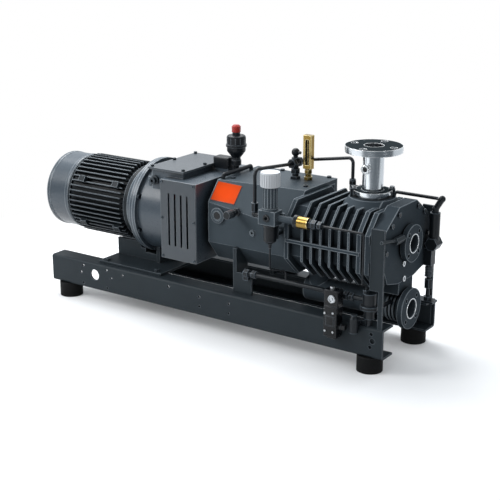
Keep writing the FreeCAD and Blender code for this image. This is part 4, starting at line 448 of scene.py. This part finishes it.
def mesh_from(shape: bmesh.types.BMesh, name: str, smooth_angle: float = 35.0) -> Mesh:
    """Finish a bmesh: normals out, flat and smooth faces by angle.

    Args:
        shape: The mesh under construction; it is freed.
        name: Name of the new mesh.
        smooth_angle: Edges flatter than this, in degrees, are smooth.

    Returns:
        The mesh.
    """
    bmesh.ops.remove_doubles(shape, verts=shape.verts, dist=MERGE_DISTANCE)
    bmesh.ops.recalc_face_normals(shape, faces=shape.faces)
    for edge in shape.edges:
        sharp = not edge.is_manifold or edge.calc_face_angle(math.pi) > math.radians(smooth_angle)
        edge.smooth = not sharp
    for face in shape.faces:
        face.smooth = True
    mesh = bpy.data.meshes.new(name)
    shape.to_mesh(mesh)
    shape.free()
    return mesh


def turned_mesh(name: str, profile: Profile, centre: Vector, along: Along, steps: int = 48) -> Mesh:
    """Turn a closed profile round an axis.

    Args:
        name: Name of the mesh.
        profile: Corners as (height, radius) in millimetres, closed through the axis.
        centre: Foot of the axis, in metres.
        along: Which way the axis points.
        steps: Facets round the axis.

    Returns:
        The mesh.
    """
    shape = bmesh.new()
    turns = [2 * math.pi * i / steps for i in range(steps)]
    rings = []
    for height, radius in profile:
        ring = turns if radius > 0 else turns[:1]
        rings.append([shape.verts.new((radius * MM * math.cos(turn), radius * MM * math.sin(turn),
                                       height * MM)) for turn in ring])
    closed = list(zip(rings, rings[1:])) + ([(rings[-1], rings[0])] if profile[0][1] > 0 else [])
    for low, high in closed:
        for i in range(steps):
            after = (i + 1) % steps
            corners = [(low, i), (low, after), (high, after), (high, i)]
            kept = list(dict.fromkeys(ring[place % len(ring)] for ring, place in corners))
            if len(kept) > 2:
                shape.faces.new(kept)
    turn = Euler(along.value).to_matrix().to_4x4()
    bmesh.ops.transform(shape, matrix=Matrix.Translation(centre) @ turn, verts=shape.verts)
    return mesh_from(shape, name)


def open_tree(name: str, sockets: dict[str, str]) -> tuple[Graph, bpy.types.bpy_prop_collection]:
    """Start a geometry tree that takes and gives a mesh.

    Args:
        name: Name of the tree.
        sockets: Its further inputs, as name and kind.

    Returns:
        The tree and its inputs as sockets to link from.
    """
    tree = bpy.data.node_groups.new(name, "GeometryNodeTree")
    for label, kind in {"Geometry": "Geometry", **sockets}.items():
        tree.interface.new_socket(label, in_out="INPUT", socket_type="NodeSocket" + kind)
    tree.interface.new_socket("Geometry", in_out="OUTPUT", socket_type="NodeSocketGeometry")
    graph = Graph(tree)
    return graph, graph.node("NodeGroupInput").outputs


def close_tree(graph: Graph, copies: bpy.types.Node, finish: Socket) -> Tree:
    """Make the copies real, paint them and give them out.

    Args:
        graph: The tree.
        copies: The node whose first output holds the copies.
        finish: Their material.

    Returns:
        The finished tree.
    """
    real = graph.node("GeometryNodeRealizeInstances", {"Geometry": copies})
    painted = graph.node("GeometryNodeSetMaterial", {"Geometry": real, "Material": finish})
    graph.node("NodeGroupOutput", {"Geometry": painted})
    return graph.tree


def fastener_tree() -> Tree:
    """Build the node tree that sets one screw head on each point.

    Returns:
        The tree.
    """
    graph, given = open_tree("screw_heads", {
        "Sides": "Int", "Head Radius": "Float", "Head Height": "Float", "Socket Radius": "Float",
        "Turn": "Rotation", "Finish": "Material"})
    tall = given["Head Height"]
    half = graph.node("ShaderNodeMath", {0: tall, 1: 0.5}, operation="MULTIPLY")
    lifted = []
    for sides, radius, height in ((given["Sides"], given["Head Radius"], half),
                                  (Head.HEX.value, given["Socket Radius"], tall)):
        bar = graph.node("GeometryNodeMeshCylinder", {"Vertices": sides, "Radius": radius, "Depth": tall})
        up = graph.node("ShaderNodeCombineXYZ", {"Z": height})
        lifted.append(graph.node("GeometryNodeTransform", {"Geometry": bar, "Translation": up}))
    drilled = graph.node("GeometryNodeMeshBoolean", {"Mesh 1": lifted[0], "Mesh 2": lifted[1]},
                         operation="DIFFERENCE")
    set_out = graph.node("GeometryNodeInstanceOnPoints", {
        "Points": given["Geometry"], "Instance": drilled, "Rotation": given["Turn"]})
    return close_tree(graph, set_out, given["Finish"])


def rib_tree() -> Tree:
    """Build the node tree that stands straight ribs in a ring round an upright axis.

    Returns:
        The tree.
    """
    graph, given = open_tree("rib_ring", {
        "Count": "Int", "Radius": "Float", "Rib Width": "Float", "Rib Depth": "Float", "Height": "Float",
        "Base": "Vector", "Finish": "Material"})
    ring = graph.node("GeometryNodeMeshCircle", {"Vertices": given["Count"], "Radius": given["Radius"]})
    size = graph.node("ShaderNodeCombineXYZ", {
        "X": given["Rib Depth"], "Y": given["Rib Width"], "Z": given["Height"]})
    bar = graph.node("GeometryNodeMeshCube", {"Size": size})
    half = graph.node("ShaderNodeMath", {0: given["Height"], 1: 0.5}, operation="MULTIPLY")
    up = graph.node("ShaderNodeCombineXYZ", {"Z": half})
    stood = graph.node("GeometryNodeTransform", {"Geometry": bar, "Translation": up})
    index = graph.node("GeometryNodeInputIndex")
    step = graph.node("ShaderNodeMath", {0: 2 * math.pi, 1: given["Count"]}, operation="DIVIDE")
    turn = graph.node("ShaderNodeMath", {0: index, 1: step}, operation="MULTIPLY")
    spin = graph.node("ShaderNodeCombineXYZ", {"Z": turn})
    set_out = graph.node("GeometryNodeInstanceOnPoints", {
        "Points": ring, "Instance": stood, "Rotation": spin})
    placed = graph.node("GeometryNodeTransform", {"Geometry": set_out, "Translation": given["Base"]})
    return close_tree(graph, placed, given["Finish"])


def baked(source: bpy.types.Object, name: str) -> Mesh:
    """Turn an object with live modifiers into a plain mesh and remove the object.

    Args:
        source: The object to evaluate.
        name: Name of the new mesh.

    Returns:
        The plain mesh.
    """
    bpy.context.view_layer.update()
    graph = bpy.context.evaluated_depsgraph_get()
    mesh = bpy.data.meshes.new_from_object(source.evaluated_get(graph))
    mesh.name = name
    bpy.data.objects.remove(source, do_unlink=True)
    return mesh


def tree_mesh(name: str, points: list[Vector], tree: Tree, values: dict[str, object]) -> Mesh:
    """Run a node tree on a set of points and return the plain mesh.

    Args:
        name: Name of the mesh.
        points: Vertices of the source mesh, in metres.
        tree: The node tree.
        values: The tree's inputs by name.

    Returns:
        The mesh.
    """
    seed = bpy.data.meshes.new(name + "_points")
    seed.from_pydata([tuple(point) for point in points], [], [])
    holder = bpy.data.objects.new(name + "_holder", seed)
    bpy.context.scene.collection.objects.link(holder)
    modifier = holder.modifiers.new("tree", "NODES")
    modifier.node_group = tree
    sockets = {item.name: item.identifier for item in tree.interface.items_tree
               if item.item_type == "SOCKET" and item.in_out == "INPUT"}
    for key, value in values.items():
        modifier[sockets[key]] = value
    return baked(holder, name)


def block_mesh(name: str, low: Vector, high: Vector, rounding_mm: float = 2.0) -> Mesh:
    """Make a moulded block with rounded edges.

    Args:
        name: Name of the mesh.
        low: Lowest corner in metres.
        high: Highest corner in metres.
        rounding_mm: Radius of its edges.

    Returns:
        The mesh.
    """
    shape = bmesh.new()
    bmesh.ops.create_cube(shape, size=1.0)
    span = high - low
    bmesh.ops.scale(shape, vec=span, verts=shape.verts)
    bmesh.ops.translate(shape, vec=(low + high) / 2, verts=shape.verts)
    bmesh.ops.bevel(shape, geom=list(shape.edges), offset=rounding_mm * MM, segments=3, affect="EDGES",
                    profile=0.5)
    return mesh_from(shape, name)


class Piece(ABC):
    """A small piece that makes its own mesh, as a dataclass with these fields."""

    name: str
    finish: str
    slot: str
    body: str

    @abstractmethod
    def mesh(self, bench: Bench) -> Mesh:
        """Make the mesh in its place.

        Args:
            bench: The shared bench.

        Returns:
            The mesh, with its material if a node tree has set it.
        """

    def build(self, bench: Bench) -> bpy.types.Object:
        """Make the piece and put it on its body.

        Args:
            bench: The shared bench.

        Returns:
            The piece.
        """
        mesh = self.mesh(bench)
        return bench.settle(self.name, mesh, self.body, "" if mesh.materials else self.finish)


@dataclass
class ScrewRow(Piece):
    """Screw heads of one kind on a set of places."""

    name: str
    places: list[Point]
    along: Along
    head: Head = Head.SOCKET
    radius_mm: float = 5.0
    height_mm: float = 4.0
    finish: str = "black_steel"
    slot: str = "black_steel"
    body: str = "pump_set"

    def mesh(self, bench: Bench) -> Mesh:
        """Set one head on each place."""
        hole = self.radius_mm * HOLE_SHARE[self.head]
        return tree_mesh(self.name, [bench.at(*place) for place in self.places], bench.heads, {
            "Sides": self.head.value, "Head Radius": self.radius_mm * MM,
            "Head Height": self.height_mm * MM, "Socket Radius": hole * MM,
            "Turn": Euler(self.along.value), "Finish": bench.paints.get(self.finish)})


@dataclass
class RibRing(Piece):
    """Straight grips or flutes in a ring round an upright axis."""

    name: str
    base: Point
    radius_mm: float
    height_mm: float
    count: int
    width_mm: float
    depth_mm: float
    finish: str
    slot: str
    body: str = "pump_set"

    def mesh(self, bench: Bench) -> Mesh:
        """Stand the ribs in their ring."""
        return tree_mesh(self.name, [Vector()], bench.ribs, {
            "Count": self.count, "Radius": self.radius_mm * MM, "Rib Width": self.width_mm * MM,
            "Rib Depth": self.depth_mm * MM, "Height": self.height_mm * MM,
            "Base": bench.at(*self.base), "Finish": bench.paints.get(self.finish)})


@dataclass
class Turning(Piece):
    """A turned piece with its own profile."""

    name: str
    foot: Point
    profile: Profile
    finish: str = "black_steel"
    slot: str = "black_steel"
    along: Along = Along.UP
    body: str = "pump_set"
    steps: int = 48

    def mesh(self, bench: Bench) -> Mesh:
        """Turn the profile round its axis."""
        return turned_mesh(self.name, self.profile, bench.at(*self.foot), self.along, self.steps)


# Sub-assemblies

BRIGHT = {"finish": "zinc_plate", "slot": "bright_steel"}


def grown(profile: Profile, radius: float) -> Profile:
    """Return a profile that is given above a radius, with that radius added."""
    return tuple((along, radius + rise) for along, rise in profile)


@dataclass
class BaseFrame:
    """Rails, feet, gussets and the posts at the suction end."""

    def dress(self, bench: Bench) -> None:
        """Paint the frame's nodes.

        Args:
            bench: The shared bench.
        """
        bench.dress("powder_coat", "front_rail", "rear_rail", "gear_gussets", "end_posts", "motor_plate")
        bench.dress("rubber", "rubber_feet")
        bench.dress("black_steel", "frame_bolts", "housing_bolts")


@dataclass
class Motor:
    """The ribbed motor with its cowl, shields and terminal box."""

    axis: Pair = (0, 324.4)
    beads: tuple[tuple[str, float, float], ...] = (("shoulder", -670, 122), ("rim", -592, 122.5))
    bead_profile: Profile = ((0, -0.6), (1.5, 1.6), (4, 2.2), (12, 2.2), (14, 1.2), (14.5, -0.6))

    def dress(self, bench: Bench) -> None:
        """Paint the motor's nodes and roll the two low beads round the cowl, at its shoulder and rim.

        Args:
            bench: The shared bench.
        """
        bench.dress("motor_paint", "motor_housing", "motor_rear_shield", "terminal_box", "terminal_lid")
        bench.dress("smooth_paint", "fan_cover", "motor_flange")
        bench.dress("ground_steel", "motor_rotor", "motor_bearings")
        bench.dress("stator_iron", "stator")
        bench.dress("black_plastic", "cooling_fan")
        for name, start, radius in self.beads:
            Turning("cowl_bead_" + name, (start, *self.axis), grown(self.bead_profile, radius),
                    "smooth_paint", "motor_paint", Along.RIGHT, steps=96).build(bench)


@dataclass
class CouplingHousing:
    """The lantern with its vent covers, the hatch on top, a plug and the sensor's hood."""

    cover_screw_x: Pair = (-158, -37)
    cover_screw_z: tuple[float, ...] = (212, 334, 447)
    cover_face: float = 151
    plug: Point = (-211, -111, 436)
    plug_profile: Profile = (
        (0, 0), (0, 14), (8, 14), (9, 12.5), (9, 10.5), (19, 10.5), (20, 9.5), (20, 5.5), (15, 5), (15, 0))
    hood_low: Point = (-95, 28, 463)
    hood_high: Point = (-37, 66, 500)
    hood_rounding: float = 5

    def dress(self, bench: Bench) -> None:
        """Paint the housing and the coupling, and set the cover screws, front and rear.

        Args:
            bench: The shared bench.
        """
        bench.dress("smooth_paint", "coupling_housing")
        bench.dress("sheet_paint", "vent_covers", "top_cover")
        bench.dress("ground_steel", "motor_coupling_half", "pump_coupling_half")
        bench.dress("polyurethane", "coupling_star")
        for side, along, name in ((-1, Along.FRONT, "front"), (1, Along.REAR, "rear")):
            spots = [(x, side * self.cover_face, z) for x in self.cover_screw_x for z in self.cover_screw_z]
            ScrewRow("vent_cover_screws_" + name, spots, along, radius_mm=4.5, height_mm=3).build(bench)
        Turning("lantern_plug", self.plug, self.plug_profile, along=Along.FRONT, steps=24).build(bench)
        hood = block_mesh("sensor_hood", bench.at(*self.hood_low), bench.at(*self.hood_high),
                          self.hood_rounding)
        bench.settle("sensor_hood", hood, "pump_set", "black_plastic")


@dataclass
class GearCasing:
    """The gear casing with its fittings and the nameplate."""

    lid_bolts: tuple[Pair, ...] = ((92, 140), (259, 7), (259, 142), (24, -30))
    lid_height: float = 457
    breather: Point = (-18.6, 47, 457)
    breather_radius: float = 29
    breather_stem: Profile = (
        (-45, 0), (-45, 9.5), (0, 9.5), (0, 12), (9, 12), (9, 9), (21, 9), (21, 13.5), (23, 15.5),
        (37, 15.5), (39, 13.5), (45, 13))
    breather_drum: Profile = (
        (64, -1.5), (67, 0), (79, 0), (80, 3), (87, 3), (88, 0), (110, 0), (113, -1), (115, -4))
    breather_spout: Profile = ((115, 12), (124.5, 12), (125, 10), (135, 10), (135, 0))
    grips: Point = (-18.6, 47, 546)
    sight_ring: Point = (31, -122, 362)
    ring_profile: Profile = (
        (0, 12), (0, 24), (1.5, 24), (3, 20), (3, 16.5), (1.8, 15.5), (3.2, 14), (3.2, 12))
    sight_pane: Point = (31, -122.5, 362)
    pane_profile: Profile = ((0, 0), (0, 12.2), (1.2, 12.2), (1.2, 0))
    plate_border_mm: float = 1.8
    plate_sink_mm: float = 0.4
    plate_smooth_angle: float = 20

    def build_breather(self, bench: Bench) -> None:
        """Replace the plain vent body with the moulded one.

        Args:
            bench: The shared bench.
        """
        profile = self.breather_stem + grown(self.breather_drum, self.breather_radius) + self.breather_spout
        mesh = turned_mesh("breather_moulding", profile, bench.at(*self.breather), Along.UP)
        piece = bench.settle("breather_moulding", mesh, "pump_set", "black_plastic")
        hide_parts("breather_body")
        RibRing("breather_grips", self.grips, self.breather_radius - 0.3, height_mm=20, count=12,
                width_mm=3, depth_mm=1.8, finish="black_plastic", slot="black_plastic").build(bench)

    def build_plate(self, bench: Bench) -> None:
        """Give the blank plate a pressed rim: a dark line round a sunk orange field.

        Args:
            bench: The shared bench.
        """
        shape = bmesh.new()
        shape.from_mesh(bench.nodes["nameplate"].data)
        bmesh.ops.remove_doubles(shape, verts=shape.verts, dist=MERGE_DISTANCE)
        bmesh.ops.dissolve_limit(shape, angle_limit=math.radians(1), verts=shape.verts, edges=shape.edges)
        front = max((face for face in shape.faces if face.normal.y < 0), key=lambda face: face.calc_area())
        rim = bmesh.ops.inset_region(shape, faces=[front], thickness=self.plate_border_mm * MM,
                                     depth=-self.plate_sink_mm * MM)["faces"]
        for face in shape.faces:
            face.material_index = 0
        for face in rim:
            face.material_index = 1
        mesh = mesh_from(shape, "blank_nameplate", self.plate_smooth_angle)
        for finish in ("orange_plate", "plate_edge"):
            mesh.materials.append(bench.paints.get(finish))
        piece = bench.settle("blank_nameplate", mesh, "pump_set")
        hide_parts("nameplate")

    def dress(self, bench: Bench) -> None:
        """Paint the casing, the gears and the oil fittings.

        Args:
            bench: The shared bench.
        """
        bench.dress("cast_paint", "gear_casing", "gear_cover", "bearing_carrier", "sight_glass")
        bench.dress("ground_steel", "input_shaft", "drive_gear", "pinion", "timing_gear_drive",
                    "timing_gear_driven", "input_bearings", "rotor_bearings")
        bench.dress("black_plastic", "drain_fitting", "drain_cap")
        bench.dress("red_cap", "breather_cap")
        self.build_breather(bench)
        self.build_plate(bench)
        ScrewRow("casing_top_bolts", [(x, y, self.lid_height) for x, y in self.lid_bolts], Along.UP,
                 radius_mm=7, height_mm=5).build(bench)
        Turning("sight_glass_ring", self.sight_ring, self.ring_profile, "cast_paint", "black_plastic",
                Along.FRONT).build(bench)
        Turning("sight_glass_pane", self.sight_pane, self.pane_profile, "gloss_plastic", "black_plastic",
                Along.FRONT).build(bench)


@dataclass
class ScrewEnd:
    """The finned cylinder, the end casting, the ducts and the inlet."""

    port_face: float = 622
    ports: tuple[tuple[str, float, float], ...] = (("upper", 347, 25), ("lower", 153, 27))
    port_profile: Profile = ((0, 0.4), (0, 3.2), (1, 3.2), (1.6, 2.6), (1.6, 1), (1, 0.4))
    casting_face: float = 598
    rim_bolts: tuple[Pair, ...] = ((98, 416), (58, 440), (-58, 440), (-98, 416), (128, 345), (-128, 345))
    bright_screws: tuple[Pair, ...] = ((-16.5, 288), (-12.5, 243))
    inlet: Pair = (480, 10)
    clamp_circle: float = 54.5
    clamp_angles: tuple[float, ...] = (32, 122, 212)
    clamp_top: float = 484
    side_port: Point = (477, -21, 545)
    side_face: Point = (477, -31.5, 545)
    side_rim_profile: Profile = ((0, 6.5), (0, 12), (2.5, 12), (3.5, 10.5), (3.5, 8), (2, 6.5))
    side_plug_profile: Profile = ((0, 0), (0, 6.6), (1.5, 6.6), (1.5, 3), (0.8, 0))

    def dress(self, bench: Bench) -> None:
        """Paint the pump end and set its bright rings and screws.

        Args:
            bench: The shared bench.
        """
        bench.dress("cylinder_paint", "screw_cylinder", "end_casting", "exhaust_duct")
        bench.dress("ground_steel", "screw_rotor_drive", "screw_rotor_driven")
        bench.dress("inlet_steel", "inlet_pipe", "inlet_ring")
        bench.dress("black_steel", "inlet_clamps")
        for name, height, bore in self.ports:
            Turning(name + "_port_ring", (self.port_face, 0, height), grown(self.port_profile, bore),
                    "turned_steel", "bright_steel", Along.RIGHT).build(bench)
        ScrewRow("casting_rim_bolts", [(self.casting_face, y, z) for y, z in self.rim_bolts], Along.RIGHT,
                 Head.HEX, radius_mm=8, height_mm=8).build(bench)
        ScrewRow("casting_face_screws", [(self.casting_face, y, z) for y, z in self.bright_screws],
                 Along.RIGHT, radius_mm=8.5, height_mm=5, **BRIGHT).build(bench)
        spots = [(self.inlet[0] + self.clamp_circle * math.cos(math.radians(angle)),
                  self.inlet[1] + self.clamp_circle * math.sin(math.radians(angle)), self.clamp_top)
                 for angle in self.clamp_angles]
        ScrewRow("clamp_screw_heads", spots, Along.UP, radius_mm=6.2, height_mm=6.6, **BRIGHT).build(bench)
        self.build_side_port(bench)

    def build_side_port(self, bench: Bench) -> None:
        """Screw the bright union with its plug on the tube's side nipple.

        Args:
            bench: The shared bench.
        """
        ScrewRow("side_port_union", [self.side_port], Along.FRONT, Head.HEX, radius_mm=15, height_mm=11,
                 **BRIGHT).build(bench)
        Turning("side_port_rim", self.side_face, self.side_rim_profile, "turned_steel", "bright_steel",
                Along.FRONT).build(bench)
        Turning("side_port_plug", self.side_face, self.side_plug_profile, "gloss_plastic",
                along=Along.FRONT).build(bench)


@dataclass
class Instruments:
    """Valve, thermometer, regulator line, switch and small lines."""

    regulator: Pair = (252.5, -172)
    sleeve_low: float = 433.5
    sleeve_radius: float = 20.2
    knob_low: float = 495.8
    knob_radius: float = 27.5
    block_face: float = -191.5
    block_middle: float = 405
    boss_profile: Profile = ((0, 5.2), (0, 11), (2.6, 11), (3.4, 10), (3.4, 6.4), (2.6, 5.2))
    bowl_top: float = 377.5
    collar_profile: Profile = ((0, 18), (0, 20.5), (1, 21.5), (5.5, 21.5), (6.5, 20.5), (6.5, 18))
    valve_left: float = 336.5
    seat_profile: Profile = ((0, 0), (0, 18), (1, 19), (11, 19), (12.5, 18), (12.5, 0))
    valve_right: float = 383
    nut_profile: Profile = ((0, 0), (0, 12.5), (1, 13.5), (8.5, 13.5), (10, 12.5), (10, 0))
    slot_low: Point = (214.2, 80.2, 504)
    slot_high: Point = (225.8, 81.4, 579)
    slot_rounding: float = 0.3
    switch_blocks: tuple[tuple[Point, Point], ...] = (
        ((449, -196, 184), (493, -164, 234)),
        ((450, -199, 98), (492, -164, 187)),
        ((456, -190, 89.5), (486, -164, 100)),
        ((457, -200.6, 130), (485, -197, 160)))
    switch_cable: Point = (491, -182, 128)
    gland_profile: Profile = ((0, 0), (0, 10), (8, 10), (9, 8.5), (20, 8), (22, 6), (22, 0))
    switch_button: Point = (475, -196, 210)
    button_profile: Profile = (
        (0, 0), (0, 12), (3, 12), (4.4, 10.6), (4.4, 8.6), (2, 8), (2, 4.5), (4, 4), (4, 0))
    switch_screws: tuple[Point, ...] = (
        (481, -199, 170), (455, -199, 166), (456, -199, 114), (482, -199, 114))
    switch_nut: Point = (467, -181, 233.8)

    def dress(self, bench: Bench) -> None:
        """Paint the small fittings and add their finer pieces.

        Args:
            bench: The shared bench.
        """
        bench.dress("brass", "thermometer", "check_valve")
        bench.dress("white_knob", "regulator_knob")
        bench.dress("black_plastic", "regulator_bowl", "valve_knob")
        bench.dress("cast_paint", "regulator_body")
        bench.dress("black_steel", "rigid_pipes", "drain_line", "water_valve", "shutoff_valve", "purge_line")
        x, y = self.regulator
        RibRing("regulator_sleeve_flutes", (x, y, self.sleeve_low), self.sleeve_radius, height_mm=59,
                count=14, width_mm=3.4, depth_mm=1.6, finish="cast_paint", slot="black_plastic").build(bench)
        RibRing("knob_grips", (x, y, self.knob_low), self.knob_radius, height_mm=37, count=26,
                width_mm=4.3, depth_mm=2, finish="white_knob", slot="white_plastic",
                body="pressure_knob").build(bench)
        Turning("regulator_port_boss", (x, self.block_face, self.block_middle), self.boss_profile,
                "gloss_plastic", "black_plastic", Along.FRONT).build(bench)
        Turning("regulator_bowl_collar", (x, y, self.bowl_top), self.collar_profile, "gloss_plastic",
                "black_plastic").build(bench)
        Turning("check_valve_seat", (self.valve_left, y, self.block_middle), self.seat_profile,
                along=Along.RIGHT).build(bench)
        Turning("check_valve_nut", (self.valve_right, y, self.block_middle), self.nut_profile,
                along=Along.RIGHT, steps=Head.HEX.value).build(bench)
        scale = block_mesh("thermometer_scale", bench.at(*self.slot_low), bench.at(*self.slot_high),
                           self.slot_rounding)
        bench.settle("thermometer_scale", scale, "pump_set", "gloss_plastic")
        self.build_switch(bench)

    def build_switch(self, bench: Bench) -> None:
        """Replace the plain switch box with its moulded case, bright button, screws and cable gland.

        Args:
            bench: The shared bench.
        """
        shape = bmesh.new()
        for low, high in self.switch_blocks:
            part = block_mesh("switch_part", bench.at(*low), bench.at(*high))
            shape.from_mesh(part)
            bpy.data.meshes.remove(part)
        case = bench.settle("switch_case", mesh_from(shape, "switch_case"), "pump_set",
                            "gloss_plastic")
        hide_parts("pressure_switch")
        Turning("switch_gland", self.switch_cable, self.gland_profile, "gloss_plastic", "black_plastic",
                Along.RIGHT).build(bench)
        Turning("switch_button", self.switch_button, self.button_profile, **BRIGHT,
                along=Along.FRONT).build(bench)
        ScrewRow("switch_screws", list(self.switch_screws), Along.FRONT, radius_mm=3.2, height_mm=2.2,
                 **BRIGHT).build(bench)
        ScrewRow("switch_nut", [self.switch_nut], Along.UP, Head.HEX, radius_mm=7, height_mm=7,
                 **BRIGHT).build(bench)


# Studio


@dataclass(frozen=True)
class Softbox:
    """A lamp with its place and size in metres and its power in watts."""

    name: str
    place: Point
    size: Pair
    power: float
    target: Point = (0.0, 0.0, 0.3)

    def hang(self) -> None:
        """Hang the lamp and turn it to its target."""
        data = bpy.data.lights.new(self.name, "AREA")
        data.energy = self.power
        data.shape = "RECTANGLE"
        data.size, data.size_y = self.size
        lamp = bpy.data.objects.new(self.name, data)
        lamp.location = self.place
        lamp.rotation_euler = (Vector(self.target) - Vector(self.place)).to_track_quat("-Z", "Y").to_euler()
        bpy.context.scene.collection.objects.link(lamp)


@dataclass
class Studio:
    """Floor, world, lamps and camera."""

    eye: Point = (1984.75, -2788.26, 1287.24)
    yaw: float = 0.603
    pitch: float = 0.303
    lens: float = 82.68
    clip_end: float = 100.0
    floor_reach: float = 30.0
    floor_drop: float = 0.0005
    floor_glow: float = 0.1
    # Distances from the pump between which the floor runs out into white
    white_span: Pair = (0.75, 1.5)
    # The floor as only reflections see it: painted darker far out on this side, a painted dark reflection in
    # the paint and steel
    reflection_dark_side: Point = (0.7, -0.7, 0.0)
    reflection_dark_span: Pair = (1.45, 1.75)
    bright_side: Point = (-0.45, 0.55, 0.7)
    bright_span: Pair = (-0.3, 0.9)
    bright_levels: Pair = (0.2, 1.15)
    lamps: tuple[Softbox, ...] = (
        Softbox("overhead_softbox", (-0.95, 0.7, 2.3), (1.9, 1.4), 60.0),
        Softbox("key_softbox", (-1.6, -1.9, 2.0), (1.3, 1.3), 42.0, (-0.25, 0.0, 0.4)),
        Softbox("left_strip", (-0.4, -3.2, 1.1), (0.22, 1.8), 9.0),
        Softbox("right_strip", (3.0, -0.8, 1.1), (0.22, 1.8), 7.0),
        Softbox("low_fill", (1.4, -3.0, 0.6), (1.4, 0.6), 9.0, (0.1, 0.0, 0.25)))

    def floor(self) -> None:
        """Lay a pale floor that keeps the soft shadow and runs out into white."""
        mesh = bpy.data.meshes.new("floor")
        reach = self.floor_reach
        corners = [(-reach, -reach, 0), (reach, -reach, 0), (reach, reach, 0), (-reach, reach, 0)]
        mesh.from_pydata(corners, [], [(0, 1, 2, 3)])
        floor = bpy.data.objects.new("floor", mesh)
        floor.location.z = -self.floor_drop
        bpy.context.scene.collection.objects.link(floor)
        material = bpy.data.materials.new("pale_floor")
        graph = Graph.of(material)
        path = graph.node("ShaderNodeLightPath").outputs
        place = graph.node("ShaderNodeTexCoord").outputs["Object"]
        far = graph.node("ShaderNodeVectorMath", {0: place}, operation="LENGTH")
        side = graph.node("ShaderNodeVectorMath", {0: place, 1: self.reflection_dark_side}, operation="DOT_PRODUCT")
        spans = []
        for way, (start, end) in ((far, self.white_span), (side, self.reflection_dark_span)):
            spans.append(graph.node("ShaderNodeMapRange", {
                "Value": way.outputs["Value"], "From Min": start, "From Max": end},
                interpolation_type="SMOOTHSTEP"))
        fade, reflection_darkening = spans
        pale, pure = srgb("f0f1f2"), srgb("ffffff")
        matt = graph.node("ShaderNodeBsdfDiffuse", {"Color": pale})
        glow = graph.node("ShaderNodeEmission", {"Color": pure, "Strength": self.floor_glow})
        both = graph.node("ShaderNodeAddShader", {0: matt, 1: glow})
        white = graph.node("ShaderNodeEmission", {"Color": pure, "Strength": 1.0})
        faded = graph.node("ShaderNodeMixShader", {0: fade, 1: both, 2: white})
        dull = graph.node("ShaderNodeBsdfDiffuse", {"Color": srgb("85888b")})
        # Painted reflection: glossy rays see the floor darker far out on one side, camera rays never do
        tone = graph.node("ShaderNodeMix", {0: reflection_darkening, FIRST: pale, SECOND: srgb("6a6f73")}, **COLOUR)
        shown = graph.node("ShaderNodeBsdfDiffuse", {"Color": tone.outputs[MIXED]})
        mirrored = graph.node("ShaderNodeMixShader", {0: path["Is Glossy Ray"], 1: dull, 2: shown})
        seen = graph.node("ShaderNodeMixShader", {0: path["Is Camera Ray"], 1: mirrored, 2: faded})
        graph.node("ShaderNodeOutputMaterial", {"Surface": seen})
        mesh.materials.append(material)

    def world(self) -> None:
        """Hang a room that is bright behind and above the pump and dim in front of it."""
        world = bpy.data.worlds.new("studio")
        bpy.context.scene.world = world
        graph = Graph.of(world)
        path = graph.node("ShaderNodeLightPath").outputs["Is Camera Ray"]
        view = graph.node("ShaderNodeTexCoord").outputs["Generated"]
        side = graph.node("ShaderNodeVectorMath", {0: view, 1: self.bright_side}, operation="DOT_PRODUCT")
        level = graph.node("ShaderNodeMapRange", {
            "Value": side.outputs["Value"], "From Min": self.bright_span[0],
            "From Max": self.bright_span[1], "To Min": self.bright_levels[0],
            "To Max": self.bright_levels[1]})
        ambient = graph.node("ShaderNodeBackground", {"Color": srgb("eef3f8"), "Strength": level})
        white = graph.node("ShaderNodeBackground", {"Color": srgb("ffffff"), "Strength": 1.0})
        mixed = graph.node("ShaderNodeMixShader", {0: path, 1: ambient, 2: white})
        graph.node("ShaderNodeOutputWorld", {"Surface": mixed})

    def camera(self, bench: Bench) -> None:
        """Set up the camera at the photograph's viewing angle.

        Args:
            bench: The shared bench.
        """
        data = bpy.data.cameras.new("camera")
        data.lens = self.lens
        data.clip_end = self.clip_end
        camera = bpy.data.objects.new("camera", data)
        camera.location = bench.at(*self.eye)
        camera.rotation_euler = (math.pi / 2 - self.pitch, 0.0, self.yaw)
        bpy.context.scene.collection.objects.link(camera)
        bpy.context.scene.camera = camera

    def build(self, bench: Bench) -> None:
        """Build the whole studio.

        Args:
            bench: The shared bench.
        """
        self.floor()
        self.world()
        for lamp in self.lamps:
            lamp.hang()
        self.camera(bench)
        bpy.context.scene.view_settings.view_transform = "Standard"


def main() -> None:
    """Dress every sub-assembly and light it."""
    logging.basicConfig(level=logging.INFO, format="%(name)s %(message)s")
    low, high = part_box("front_rail")
    shift = Vector(((low[0] + high[0]) / 2, low[1] + RAIL_HALF_WIDTH * MM, 0.0))
    bench = Bench(frame["nodes"], Paintbox(), shift, fastener_tree(), rib_tree())
    for assembly in (BaseFrame(), Motor(), CouplingHousing(), GearCasing(), ScrewEnd(), Instruments()):
        assembly.dress(bench)
        log.info("%s dressed", type(assembly).__name__)
    Studio().build(bench)


if __name__ == "__main__":
    main()
